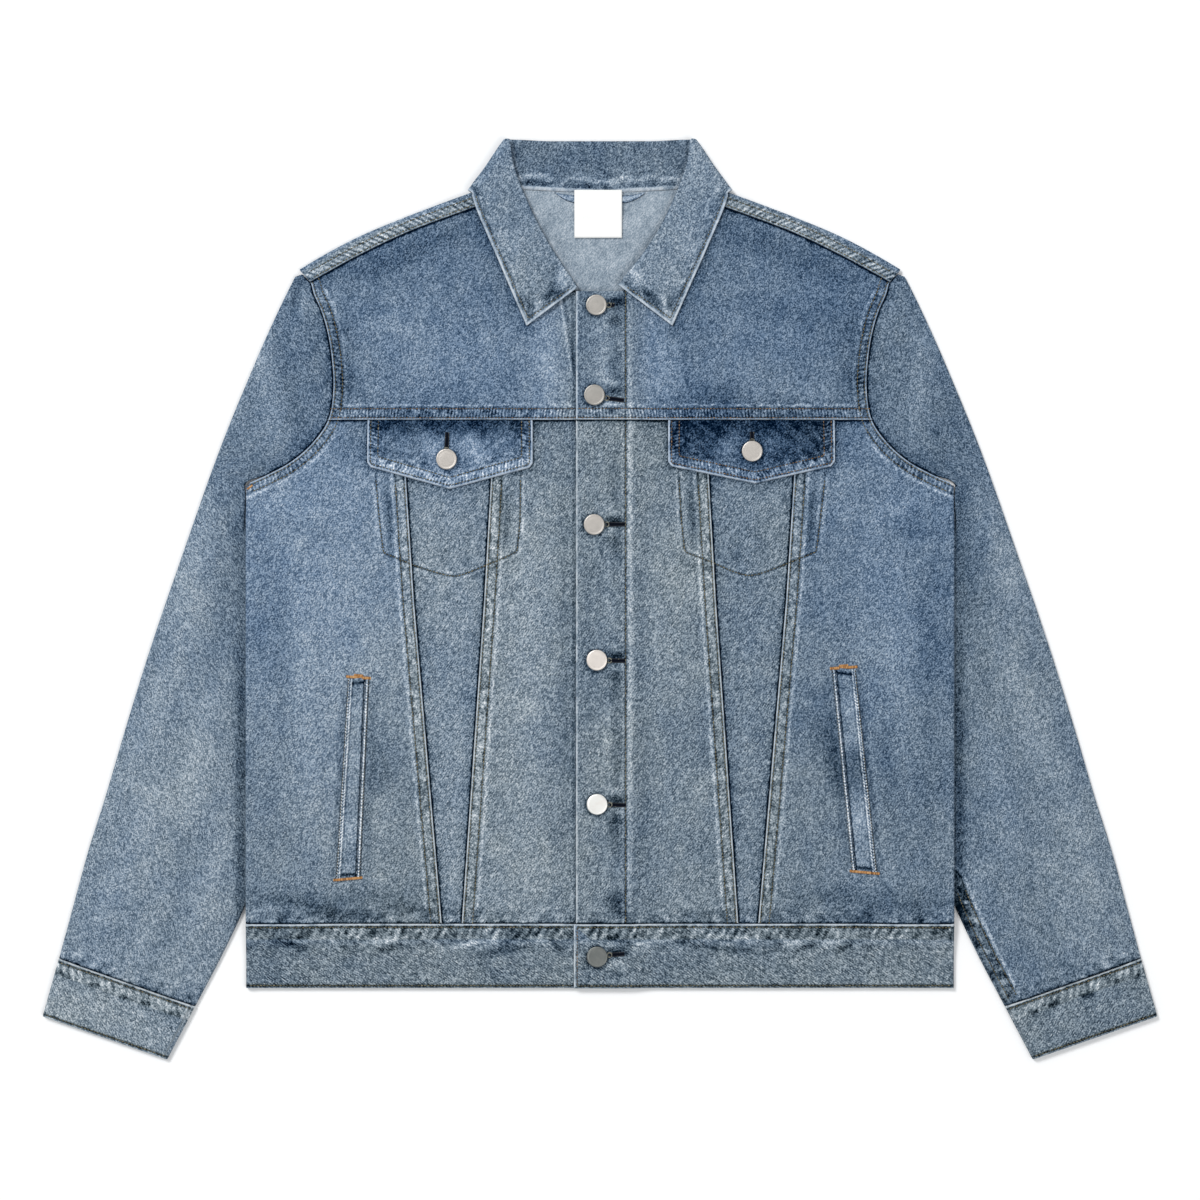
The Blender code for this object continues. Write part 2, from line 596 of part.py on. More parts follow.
# ---- Waistband ----------------------------------------------------------------------------
def waistband(finish):
    """One folded band: from its left end over the centre, round both sides, to its right end."""
    radius = (LAYERS + BAND - CLOTH) / 2
    high = 2 * radius
    over = np.array([BAND_END, 0.0, LAP_STITCH, 27.0, 33.0, 39.0, LAP_FOOT, 90.0, 150.0, 200.0, 220.0, 235.0,
                     250.0, 268.0, SIDE - radius])
    below = np.array([SIDE - radius, 268.0, 250.0, 235.0, 220.0, 200.0, 150.0, 90.0, 30.0])
    under = np.array([SIDE - radius, 268.0, 250.0, 235.0, 220.0, 200.0, 150.0, 90.0, 40.0, 10.0, UNDER_EDGE])
    rings = []
    for y in (WAIST_SEAM - GAP / 2, -277.0, -289.0, -301.0, HEM):
        lap_height = (BAND + GAP) * between(over, (LAP_FOOT, LAP_STITCH))
        angles = fold_angles()[1:-1]
        fold_x, fold_z = radius * np.sin(angles), radius * np.cos(angles)
        edge = SIDE - radius
        x = np.concatenate((over, edge + fold_x, below, -below[::-1], -edge - fold_x[::-1], -under))
        top = np.concatenate((high + lap_height, radius + fold_z, np.zeros(2 * len(below)), radius - fold_z,
                              np.full(len(under), high)))
        base = lift(np.clip(x, -edge, edge), y)
        rings.append(np.stack((x, np.full(len(x), y), base + top), axis=1))
    Sheet().add(np.array(rings), BAND).wall("waistband", finish)


# ---- Collar -------------------------------------------------------------------------------
def unit(vector):
    return vector / np.linalg.norm(vector)


def collar_section(seam, roll, edge, out, side, front):
    """Middle of the cloth from the neck seam up the stand, round the roll and down the leaf.
    out is the way from the stand to the leaf."""
    up = unit(roll - seam)
    out = unit(out - up * np.dot(out, up))
    centre = roll - (COLLAR_ROLL + COLLAR_CLOTH / 2) * up + COLLAR_ROLL * out
    stand_end = centre - COLLAR_ROLL * out
    leaf_start = centre + COLLAR_ROLL * out
    stand = [seam + t * (stand_end - seam) for t in (0.0, 0.4, 0.8, 1.0)]
    turns = np.radians((45.0, 90.0, 135.0))
    arc = [centre + COLLAR_ROLL * (math.sin(a) * up - math.cos(a) * out) for a in turns]
    leaf = np.array([leaf_start + t * (edge - leaf_start) for t in (0.0, 0.1, 0.35, 0.6, 0.8, 1.0)])
    if front:
        clear = front_top(side, leaf[:, 0], leaf[:, 1]) + CLEAR_OF_FRONT
        leaf[:, 2] = np.maximum(leaf[:, 2], clear + RIDGE * between(leaf[:, 1], STRIP_FROM))
    return np.vstack((stand, arc, leaf))


def front_stations(side):
    """Sections of one side from the front end to the turn."""
    stations = []
    up = np.array((0.0, 0.0, 1.0))
    for seam_x, seam_y, roll_x, roll_y, edge_x, edge_y, roll_shift, edge_shift in COLLAR_FRONT:
        cloth = BAND if seam_x < LAP_STITCH else CLOTH
        seam_z = float(front_top(side, side * seam_x, seam_y)) - cloth / 2
        roll_z = max(seam_z + 0.4, STAND_OVER_FRONT)
        edge_z = float(front_top(side, side * edge_x, edge_y)) + CLEAR_OF_FRONT
        inward = unit(np.array((roll_x - seam_x, roll_y - seam_y))) * GAP
        seam = np.array((side * (seam_x + inward[0]), seam_y + inward[1], seam_z))
        roll = np.array((side * roll_x - roll_shift, roll_y, roll_z))
        edge = np.array((side * edge_x - edge_shift, edge_y, edge_z))
        stations.append(collar_section(seam, roll, edge, up, side, True))
    return stations


def turn_stations(side):
    """Sections round the fold beside the neck, from the front's level to the back's."""
    stations = []
    for angle in np.radians(TURN_ANGLES):
        points, ways = {}, {}
        for name, (x, y, plan_angle) in COLLAR_TURN.items():
            plan = math.radians(plan_angle)
            flat = np.array((side * math.cos(plan), math.sin(plan), 0.0))
            ways[name] = flat * math.sin(angle) + np.array((0.0, 0.0, math.cos(angle)))
            height, radius = TURN_RISE[name]
            points[name] = np.array((side * x, y, height)) + radius * ways[name]
        stations.append(collar_section(*points.values(), ways["roll"], side, False))
    return stations


def back_stations():
    """Sections behind the neck, from the left side to the right side."""
    stations = []
    other = COLLAR_BACK[-2::-1] * (-1, 1, -1, 1, -1, 1)
    for seam_x, seam_y, roll_x, roll_y, edge_x, edge_y in np.vstack((COLLAR_BACK, other)):
        seam = np.array((seam_x, seam_y + GAP / 2, STAND_BEHIND[0]))
        roll = np.array((roll_x, roll_y, STAND_BEHIND[1]))
        edge = np.array((edge_x, edge_y, STAND_BEHIND[2]))
        stations.append(collar_section(seam, roll, edge, np.array((0.0, 0.0, -1.0)), 0, False))
    return stations


def collar(finish):
    """Stand and leaf in one folded piece, from the left front over the back to the right front."""
    left = front_stations(1.0) + turn_stations(1.0)
    right = front_stations(-1.0) + turn_stations(-1.0)
    middle = np.array(left + back_stations() + right[::-1])
    sheet = Sheet().add(middle, COLLAR_CLOTH)
    half = COLLAR_CLOTH / 2
    sheet.points = list(np.array(sheet.points) + sheet.normals() * half)
    sheet.wall("collar", finish)


# ---- Flaps, welts, label and loop ---------------------------------------------------------
def plate(name, outline, low, thickness, soften, finish):
    """A flat piece: an outline in plan between two heights, its upper edge softened."""
    outline = np.array(outline, float)
    centre = outline.mean(axis=0)
    steps = np.roll(outline, -1, axis=0) - np.roll(outline, 1, axis=0)
    way = np.stack((steps[:, 1], -steps[:, 0]), axis=1) / np.linalg.norm(steps, axis=1)[:, None]
    if np.sum(way * (outline - centre)) < 0:
        way = -way
    count = len(outline)
    levels = [(0.0, low), (0.0, low + thickness - soften), (soften, low + thickness)]
    points = np.vstack([with_height(outline - inset * way, height) for inset, height in levels])
    faces = [tuple(range(count)), tuple(range(2 * count, 3 * count))]
    for level in range(len(levels) - 1):
        for i in range(count):
            j = (i + 1) % count
            a, b = level * count, (level + 1) * count
            faces.append((a + i, a + j, b + j, b + i))
    return solid(name, points, faces, finish)


def flap(word, finish):
    side = SIDES[word]
    outline = np.array(FLAP[word]) * (side, 1.0)
    plate(f"flap_{word}", outline, LAYERS + GAP, FLAP_CLOTH, FLAP_EDGE, finish)


def welt(word, finish):
    """A slanting strip with both edges raised, made from the side panel's points."""
    side = SIDES[word]
    (upper, inner_up, outer_up), (lower, inner_low, outer_low) = WELT[word]
    grid = []
    for t in np.linspace(0.0, 1.0, 9):
        start, end = inner_up + t * (inner_low - inner_up), outer_up + t * (outer_low - outer_up)
        x = np.array((start, start + WELT_LIP, start + WELT_LIP + 1, end - WELT_LIP - 1, end - WELT_LIP, end))
        y = upper + t * (lower - upper) - WELT_TILT * (x - start)
        z = front_top(side, side * x, y) + CLEAR_OF_CLOTH + WELT_CLOTH
        grid.append(np.stack((x, y, z), axis=1))
    raised = WELT_RIDGE * np.array((1.0, 1.0, 0.0, 0.0, 1.0, 1.0))
    Sheet().add(mirrored(side, grid), WELT_CLOTH, raised).wall(f"welt_{word}", finish)


def inside_back(y):
    """Height of the back's inner face in the middle of the neck."""
    return lift(0.0, y) + CLOTH


def neck_label(finish):
    """Sewn on at the neck seam, over the hanger loop, and hanging inside the back."""
    grid = []
    for y in np.linspace(*LABEL_Y, 8):
        x = np.linspace(*LABEL_X, 3)
        over_loop = (LOOP_CLOTH + GAP) * between(y, LABEL_STEP)
        z = inside_back(min(y, BACK_NECK[0, 1])) + CLEAR_OF_CLOTH + over_loop + LABEL_CLOTH
        grid.append(np.stack((x, np.full(3, y), np.full(3, z)), axis=1))
    Sheet().add(grid, LABEL_CLOTH).wall("neck_label", finish)


def hanger_loop(finish):
    """A narrow band that hangs from the neck seam in a shallow bow."""
    x = np.linspace(-LOOP_HALF, LOOP_HALF, 13)
    bow = LOOP_DROP * (1.0 - (x / LOOP_HALF) ** 2)
    grid = []
    for offset in (0.0, LOOP_WIDTH):
        y = LOOP_TOP - bow - offset
        grid.append(np.stack((x, y, inside_back(y) + GAP + LOOP_CLOTH), axis=1))
    Sheet().add(grid, LOOP_CLOTH).wall("hanger_loop", finish)


# ---- Buttons ------------------------------------------------------------------------------
def button(name, x, y, seat, finish, sides=16):
    """A turned disc with a raised rim, face up."""
    profile = ((BUTTON_RADIUS - 1.0, 0.0), (BUTTON_RADIUS, 0.9), (BUTTON_RADIUS - 0.5, BUTTON_HEIGHT),
               (BUTTON_RADIUS - 1.6, BUTTON_HEIGHT - 0.4))
    angles = np.arange(sides) * 2.0 * math.pi / sides
    points = [(x + r * math.cos(a), y + r * math.sin(a), seat + z) for r, z in profile for a in angles]
    faces = [tuple(range(sides)), tuple(range((len(profile) - 1) * sides, len(profile) * sides))]
    for level in range(len(profile) - 1):
        for i in range(sides):
            j = (i + 1) % sides
            a, b = level * sides, (level + 1) * sides
            faces.append((a + i, a + j, b + j, b + i))
    solid(name, points, faces, finish, 30.0)


def buttons(finish):
    placket = LAYERS + LAP_LIFT + GAP
    for number, (x, y) in enumerate(FRONT_BUTTONS, 1):
        button(f"button_{number}", x, y, placket, finish)
    for word, (x, y) in FLAP_BUTTONS.items():
        button(f"flap_button_{word}", x, y, LAYERS + GAP + FLAP_CLOTH + GAP, finish)


# ---- The jacket ---------------------------------------------------------------------------
def centre_on_origin():
    """Puts the origin in the middle of the jacket's box, on the floor."""
    objects = [thing for thing in bpy.data.objects if thing.type == "MESH"]
    corners = np.array([vertex.co for thing in objects for vertex in thing.data.vertices])
    low, high = corners.min(axis=0), corners.max(axis=0)
    shift = np.array(((low[0] + high[0]) / 2, (low[1] + high[1]) / 2, low[2]))
    for thing in objects:
        for vertex in thing.data.vertices:
            vertex.co = np.array(vertex.co) - shift


def build():
    for old in list(bpy.data.objects):
        bpy.data.objects.remove(old, do_unlink=True)
    finish = make_materials()
    back(finish["denim"])
    for word in SIDES:
        yoke(word, finish["denim"])
        side_front(word, finish["denim"])
        pocket_panel(word, finish["faded"])
        centre_front(word, finish["faded"])
        flap(word, finish["dark"])
        welt(word, finish["denim"])
        sleeve(word, finish["denim"])
        cuff(word, finish["band"])
    waistband(finish["band"])
    collar(finish["denim"])
    hanger_loop(finish["denim"])
    neck_label(finish["satin"])
    buttons(finish["nickel"])
    centre_on_origin()


build()
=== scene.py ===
# %% [markdown]
# # A denim jacket, laid flat
#
# A denim jacket is one kind of cloth, cut into some twenty pieces and sewn with strong topstitching
# along nearly every seam. Washing then rubs the indigo off every edge and bump, so the seams end up
# drawn in white and dark. This script dresses a plain model of the pieces: it makes each piece again
# as a fine shell of cloth, adds the thread and the metal, and gives the cloth its weave and wash.

# %% The plain model
import math
from functools import cache

import bpy
import numpy as np
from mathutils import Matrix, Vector
from mathutils.bvhtree import BVHTree
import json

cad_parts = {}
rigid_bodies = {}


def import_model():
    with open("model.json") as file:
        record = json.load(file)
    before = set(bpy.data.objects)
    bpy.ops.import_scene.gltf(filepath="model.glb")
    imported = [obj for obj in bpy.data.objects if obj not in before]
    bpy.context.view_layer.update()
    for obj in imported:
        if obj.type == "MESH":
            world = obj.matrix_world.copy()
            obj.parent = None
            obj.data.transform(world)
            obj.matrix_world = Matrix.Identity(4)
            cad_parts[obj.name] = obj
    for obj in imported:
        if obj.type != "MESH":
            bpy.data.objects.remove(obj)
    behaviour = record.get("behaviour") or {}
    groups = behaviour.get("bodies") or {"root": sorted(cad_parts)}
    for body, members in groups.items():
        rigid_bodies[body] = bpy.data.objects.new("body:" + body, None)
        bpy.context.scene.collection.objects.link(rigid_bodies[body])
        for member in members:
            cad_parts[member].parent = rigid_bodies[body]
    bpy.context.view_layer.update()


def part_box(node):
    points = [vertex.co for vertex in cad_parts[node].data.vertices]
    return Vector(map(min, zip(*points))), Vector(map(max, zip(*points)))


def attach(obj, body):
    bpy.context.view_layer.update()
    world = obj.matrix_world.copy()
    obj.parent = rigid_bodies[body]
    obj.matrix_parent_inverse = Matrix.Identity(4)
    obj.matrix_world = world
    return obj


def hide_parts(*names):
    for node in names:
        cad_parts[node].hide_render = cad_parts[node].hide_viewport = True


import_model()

# %% [markdown]
# ## Measures
#
# A pattern cutter works in millimetres from the middle of the chest, and so do these tables: x runs
# out to the side, y runs up to the collar. Pairs are given for the wearer's left side, which has
# positive x, and mirrored for the right. The cloth's layers lie at heights that follow from how thick
# each layer is, because a laid garment is nothing but a stack of cloth.

# %% Measures of the cloth and its layers
MM = 0.001
CLOTH = 1.2             # one layer of denim
BAND = 2                # folded denim: waistband, cuffs and plackets
COLLAR_CLOTH = 1.4
GAP = 0.3               # between two pieces
LAYERS = 4              # outer face of the back to outer face of a front
RIDGE = 0.8             # a felled seam above the cloth
SIDE = 290.3            # half the width of the body
SIDE_SEAM = 284         # where a side panel meets the back, underneath
WAIST_SEAM = -265.3
HEM = -318.2
YOKE_SEAM = 147.6
ARMPIT = 94.35
FELL = 10               # width of a felled seam
ARM_FELL = 9
LAP_EDGE = -19.7        # the left front's folded edge
BAND_END = -21.5        # the waistband's upper end
LAP_STITCH = 21         # the placket's topstitching
LAP_FOOT = 45           # where the left front lies flat again
UNDER_EDGE = -12        # the right front's folded edge, towards its own side
UNDER_STITCH = 29
LAP_LIFT = (BAND + GAP) + (BAND - CLOTH)
SLEEVE_LIFT = 4.6       # the sides lie on the sleeves
LEAF_LIFT = 2           # the neck lies on the collar's leaf
FELL_ROWS = (1.8, 9)    # the topstitching, from the edge of its piece
ARM_ROWS = (1.8, 7.6)
FLAP_ROWS = (3, 9.2)
BAND_ROW = 2.9
HEM_ROW = 2.2
LEAF_ROW = 4.2
SIDES = {"right": -1, "left": 1}
FRONT_BUTTONS = ((-3, 241.5), (-4.6, 167.9), (-4.8, 61.8), (-2.6, -49.2), (-2.4, -167.2), (-2.4, -292))
FLAP_BUTTONS = {"left": (124.6, 121.9), "right": (-125.7, 115.4)}
BUTTON_SEAT = LAYERS + LAP_LIFT + GAP
BUTTON_RADIUS = 8.5
LEAF_CLEAR = COLLAR_CLOTH / 2 + GAP + 0.1   # the middle of the collar's leaf over a front

low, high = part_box("button_1")
ORIGIN = np.array(((low.x + high.x) / 2, (low.y + high.y) / 2, low.z)) / MM
ORIGIN -= (*FRONT_BUTTONS[0], BUTTON_SEAT)
print("the chest's middle lies at", ORIGIN.round(2), "mm")


# %% Tables of the pattern's lines
# The armhole, from the armpit to the tip of the shoulder: x, y
ARMHOLE = np.array([
    (291.2, 94.5), (272.8, 102.7), (252.4, 114), (236.2, 128.2), (222.9, 147.6), (218.8, 171.1),
    (219.8, 196.8), (223.5, 219.9), (228.5, 236.8), (234.8, 251.2), (237.6, 260.7), (247.3, 270.8)])
# The shoulder, from its tip to the neck: upper edge x, y and the seam in front of it x, y
SHOULDER = np.array([
    (246.5, 271.3, 237.6, 260.7), (226, 283.4, 215, 273.5), (201.4, 296.4, 190, 286.6),
    (160.6, 313.8, 160.6, 300.5), (108.6, 333, 105.5, 320.9), (92, 339, 90, 326.6)])
# The neckline of a front, from the collar's end to the shoulder seam: x, y
FRONT_NECK = np.array([
    (20, 254), (35, 262), (50, 270), (61, 281), (72, 292), (80, 305), (88, 318), (90, 326.6)])
LAP_TOP = 252.9         # where the placket ends at the neck
# The neckline of the back, from the middle out: x, y
BACK_NECK = np.array([(0, 333.7), (32, 335), (64, 336.7), (92, 339)])
# The two slanting seams of a front: y, x of the outer seam, x of the inner seam
PANEL_SEAMS = np.array([
    (WAIST_SEAM, 129.6, 113.5), (0, 152.5, 95.1), (100, 159, 89.4), (YOKE_SEAM, 163, 87)])
# The sleeve below the armpit: inner edge x, y and the y across it on the outer edge, then the y
# across from the armhole's points, and the outer edge from the cuff up: x, y
SLEEVE_BELOW = np.array([
    (290.9, 86, 90), (290.9, 77, 82), (290.9, 60, 66), (276, 20, 34), (259, -40, -14), (254, -90, -52),
    (260, -150, -108), (275, -205, -162), (290.9, -250, -206), (310, -291, -250), (332.1, -333.3, -293.9)])
SLEEVE_ACROSS = np.array([265, 256, 247, 236, 222, 203, 183, 163, 145, 128, 112, 97])
SLEEVE_OUTER = np.array([
    (443.9, -293.9), (433, -253.8), (417.4, -197.3), (402.7, -151.3), (388.1, -101.1), (369.2, -40.4),
    (344.2, 32.8), (303.4, 145.6), (291.2, 175.1), (272.8, 218), (258.5, 248.5), (247.3, 270.8)])
CUFF_SEAM = np.array([(332.1, -333.3), (443.9, -293.9)])
CUFF_HEM = np.array([(354.9, -376.7), (457.2, -341.2)])
# The collar's front: x, y of the seam, of the roll and of the leaf's edge, and how far the roll
# and the edge lie nearer the right side on both sides
COLLAR_FRONT = np.array([
    (20, 254, 16.7, 258.1, 59.7, 224.8, 2.2, 0.4), (35, 262, 25.5, 270, 69, 246, 1.5, 0.3),
    (50, 270, 35, 283, 77.5, 265.5, 0.8, 0.2), (61, 281, 41.8, 293.2, 84, 280.4, 0.4, 0),
    (72, 292, 48.5, 304.8, 90, 294.2, 0, 0), (80, 305, 54.3, 315.7, 95, 305.6, 0, 0),
    (88, 318, 60, 328.5, 99.5, 316, 0, 0), (89.7, 326.6, 66.3, 343.5, 102.5, 324, 0, 0),
    (90.5, 332, 71.3, 358.5, 104.5, 330.5, 0, 0)])
# The collar's turn, for its seam, roll and edge: the point that each turns about, the angle in plan
# of the way out, then the height and the radius of the turn
COLLAR_TURN = ((89.6, 337.6, 70, 4, 1.6), (74.6, 374.6, 30, 4.7, 1.2), (105, 333.8, 36, 4.25, 3.55))
TURN_ANGLES = (15, 50, 90, 130, 165)
COLLAR_BACK = np.array([
    (64, 336.7, 56, 376.7, 80, 327.5), (32, 335, 28, 376, 40, 323.2), (0, 333.7, 0, 375.7, 0, 322)])
COLLAR_ROLL = 1.4       # radius of its fold
# Chest flaps, from the upper inner corner round the point: x, y
FLAP = {
    "left": np.array([(55.8, 147.3), (55.6, 113.6), (58.6, 109.4), (127.2, 95.4), (189.6, 109.6),
                      (193, 114.2), (192.5, 147.3)]),
    "right": np.array([(55.1, 147.3), (54.9, 112.4), (57.6, 108.4), (123.2, 90.9), (188.2, 108.8),
                       (191.3, 113.2), (190.7, 147.3)])}
# Hand pocket welts: y and x of both edges at the upper and at the lower end
WELT = {"left": ((-55, 189.6, 209.8), (-222.6, 206.3, 227.3)),
        "right": ((-63, 189, 206.8), (-228, 196.3, 216.9))}
WELT_TILT = 0.11        # how much the ends slant
# The stitching of the pocket bags behind the fronts: x, y
POCKET_BAG = {
    "right": np.array([(-184.1, 102.5), (-180.9, 65), (-177.6, 38.8), (-163.2, 32.9), (-150, 27.4),
                       (-135.5, 22.9), (-126, 20.3), (-119.6, 19.3), (-113.5, 20.6), (-105.1, 23.6),
                       (-91.9, 29.2), (-78.7, 34.4), (-67.8, 39.9), (-65.6, 65), (-65, 102.5)]),
    "left": np.array([(184.8, 102.5), (180.6, 65), (177.2, 39.4), (166, 35), (155.2, 30.6), (140, 24.6),
                      (129.5, 21), (122.2, 20), (115, 21.4), (107, 24.2), (93.7, 30.2), (81, 35.2),
                      (69.5, 39.4), (66.8, 65), (64.6, 102.5)])}


# %% [markdown]
# ## Camera, light and floor
#
# A garment for a shop is laid on white and shot from straight above, with broad soft light that still
# comes a little more from one side, so that seams throw thin shadows. A long lens keeps the edges
# parallel. The camera stands where 984 mm fill the picture's width, at the height of the fronts.

# %% The camera
LENS, SENSOR = 85, 36
PICTURE_WIDTH = 0.984
camera_data = bpy.data.cameras.new("camera")
camera_data.lens = LENS
camera_data.sensor_width = SENSOR
camera = bpy.data.objects.new("camera", camera_data)
CAMERA_HEIGHT = PICTURE_WIDTH * LENS / SENSOR
camera.location = (ORIGIN[0] * MM, ORIGIN[1] * MM, CAMERA_HEIGHT + LAYERS * MM)
bpy.context.scene.collection.objects.link(camera)
bpy.context.scene.camera = camera
print("camera height", round(CAMERA_HEIGHT, 3), "m")


# %% Lights
def panel_light(name, place, size, power):
    """A square studio panel that faces the jacket's middle."""
    data = bpy.data.lights.new(name, "AREA")
    data.size = size
    data.energy = power
    light = bpy.data.objects.new(name, data)
    light.location = place
    light.rotation_euler = Vector(place).to_track_quat("Z", "Y").to_euler()
    bpy.context.scene.collection.objects.link(light)


panel_light("key", (-3.4, 3.6, 5.4), 2, 338)
panel_light("fill", (3.8, -2.6, 6.2), 4, 150)
world = bpy.data.worlds.new("studio")
world.use_nodes = True
world.node_tree.nodes["Background"].inputs["Color"].default_value = (0.96, 0.98, 1, 1)
world.node_tree.nodes["Background"].inputs["Strength"].default_value = 0.52
bpy.context.scene.world = world
bpy.context.scene.view_settings.view_transform = "Standard"


# %% [markdown]
# ## How a finish is written
#
# A finish is a graph of nodes. Written as a formula it is far easier to read, so a small class wraps
# a socket and lets Python's own signs add the Math nodes. Everything else comes from one method.

# %% A socket that can be used in a formula
def operator(operation):
    """A method that adds one Math node, on its own value and on those to the right of it."""
    return lambda self, *others: self.math(operation, self, *others)


class Value:
    """A number that changes over the surface."""

    def __init__(self, graph, socket):
        self.graph, self.socket = graph, socket

    def math(self, operation, *values, clamp=False):
        settings = {"operation": operation, "use_clamp": clamp}
        return self.graph.make("Math", settings, dict(enumerate(values)))

    __add__ = __radd__ = operator("ADD")
    __sub__, __mul__, __truediv__ = operator("SUBTRACT"), operator("MULTIPLY"), operator("DIVIDE")
    size, floor, at_least = operator("ABSOLUTE"), operator("FLOOR"), operator("MAXIMUM")

    def __rsub__(self, other):
        return self.math("SUBTRACT", other, self)

    def clamped(self):
        return self.math("ADD", self, 0, clamp=True)

    def wave(self):
        """A sine with one wave for each unit."""
        return self.math("SINE", self * (2 * math.pi))

    def rise(self, start, end):
        """Rises softly from 0 to 1 while the value goes from start to end, also downwards."""
        if start > end:
            return 1 - self.rise(end, start)
        return self.graph.make("MapRange", {"interpolation_type": "SMOOTHSTEP"},
                               {"Value": self, "From Min": start, "From Max": end})

    def decay(self, reach):
        """e to the power of minus the value over a reach."""
        return self.math("EXPONENT", self * (-1 / reach))

    def bell(self, middle, width):
        """A soft bump round one value, from 0 up to 1 and back."""
        away = (self - middle) * (1 / width)
        return (away * away).decay(1)


# %% A graph of nodes
class Finish:
    """One material, with one method that makes its nodes."""

    def __init__(self, name, matte=False):
        self.material = bpy.data.materials.new(name)
        self.material.use_nodes = True
        self.tree = self.material.node_tree
        self.shader = self.tree.nodes["Principled BSDF"]
        if matte:
            self.shader.inputs["Specular IOR Level"].default_value = 0

    def make(self, kind, settings=None, inputs=None, output=0):
        """A node of a kind: its settings first, then values or links for its sockets."""
        node = self.tree.nodes.new(f"ShaderNode{kind}")
        for name, value in (settings or {}).items():
            setattr(node, name, value)
        for name, value in (inputs or {}).items():
            self.feed(node.inputs[name], value)
        return Value(self, node.outputs[output])

    def feed(self, socket, value):
        if isinstance(value, Value):
            self.tree.links.new(value.socket, socket)
        else:
            socket.default_value = value

    def ramp(self, factor, stops):
        """A colour for each factor, from stops of a position and an sRGB colour."""
        made = self.make("ValToRGB", None, {"Fac": factor})
        elements = made.socket.node.color_ramp.elements
        while len(elements) < len(stops):
            elements.new(1)
        for element, (position, colour) in zip(elements, stops):
            element.position = position
            element.color = (*(linear(colour) / LIGHT), 1)
        return made

    def mix(self, factor, first, second):
        """A blend of two colours."""
        return self.make("Mix", {"data_type": "RGBA"}, {0: factor, 6: first, 7: second}, 2)

    def attributes(self, names):
        return [self.make("Attribute", {"attribute_name": name}, None, "Fac")
                for name in names.split()]

    def split(self, vector):
        """x and y of a vector."""
        return [self.make("SeparateXYZ", None, {0: vector}, axis) for axis in "XY"]

    def place(self):
        """The object's own coordinates, in metres."""
        return self.make("TexCoord", None, None, "Object")

    def cloud(self, vector, scale, detail=2):
        """Soft noise of 0 to 1 on a vector."""
        return self.make("TexNoise", None, {"Vector": vector, "Scale": scale, "Detail": detail})

    def noise(self, x, y, seed, detail=2, roughness=0.5):
        """Soft noise on two coordinates, about -1 to 1, with hills about one unit apart."""
        vector = self.make("CombineXYZ", None, {"X": x, "Y": y, "Z": seed})
        noise = self.cloud(vector, 1, detail)
        self.feed(noise.socket.node.inputs["Roughness"], roughness)
        return (noise - 0.5) * 2

    def cells(self, x, y):
        """A value of -1 to 1 that jumps from one unit square to the next."""
        vector = self.make("CombineXYZ", None, {"X": x.floor(), "Y": y.floor()})
        white = self.make("TexWhiteNoise", {"noise_dimensions": "2D"}, {"Vector": vector})
        return (white - 0.5) * 2

    def bump(self, height, distance):
        normal = self.make("Bump", None, {"Height": height, "Distance": distance, "Strength": 1})
        self.feed(self.shader.inputs["Normal"], normal)

    def set(self, **sockets):
        for name, value in sockets.items():
            self.feed(self.shader.inputs[name.replace("_", " ").title()], value)
        return self.material


def linear(colour):
    """A colour of 0 to 255 per channel, as linear light."""
    part = np.clip(np.asarray(colour, float), 0, 255) / 255
    return np.where(part <= 0.04045, part / 12.92, ((part + 0.055) / 1.055) ** 2.4)


# %% [markdown]
# ## The finish of washed denim
#
# Denim is a twill: white yarns run across, indigo yarns run along, and each indigo yarn steps over
# three white ones, one step later on each row. That makes fine slanting ribs. The yarns are uneven,
# so dark and pale streaks run along the cloth. Washing rubs the blue off whatever stands proud.
# Along a seam the cloth is bunched up by the thread, and each little bunch turns pale on top and
# stays dark beside it. The finish reads how far each point is from its seam and how far along it,
# which the pieces store as attributes, so that the marks follow every seam, however it runs.

# %% Denim
TWILL_PITCH = 1.7       # from rib to rib, mm
TWILL_ANGLE = math.radians(54)
LIGHT = 1.05            # how bright the studio's light is, where 1 shows white paper as white
# At rising shares of the way from indigo to white: how bright the cloth is, and how much of its cast
# is left
SHARES = (0, 0.12, 0.24, 0.36, 0.48, 0.6, 0.72, 0.86, 1)
SHADES = (12, 42, 70, 97, 124, 152, 181, 215, 250)
CAST_LEFT = (0.8, 0.9, 1, 1, 1, 0.95, 0.75, 0.5, 0.2)


def wash_stops(cast):
    """Stops of a ramp from dark to white, where a colour is its shade plus what is left of a cast."""
    return [(share, tuple(shade + left * np.array(cast)))
            for share, shade, left in zip(SHARES, SHADES, CAST_LEFT)]


BLUE_WASH = wash_stops((-21, 0.5, 25.5))
GREY_WASH = wash_stops((-12.5, 0.5, 9.5))
INNER_WASH = wash_stops((-13, 2, 16))


def weave(finish):
    """The cloth's own marks, each about -1 to 1: ribs with the dashes of yarn on them, streaks
    and specks; and its coordinates."""
    across, along = finish.split(finish.make("UVMap", {"uv_map": "weave"}))
    wobble = finish.noise(across / 9, along / 9, 3, 0) * 0.5
    across_rib = across * math.sin(TWILL_ANGLE) - along * math.cos(TWILL_ANGLE)
    along_rib = across * math.cos(TWILL_ANGLE) + along * math.sin(TWILL_ANGLE)
    ribs = (across_rib / TWILL_PITCH + wobble).wave() * 0.5 + finish.cells(across_rib, along_rib / 2.6)
    streaks = finish.noise(across / 1.4, along / 9, 7)
    specks = finish.cells((across * 0.8 - along * 0.6) / 0.85, across * 0.6 + along * 0.8)
    return ribs, streaks, specks, across, along


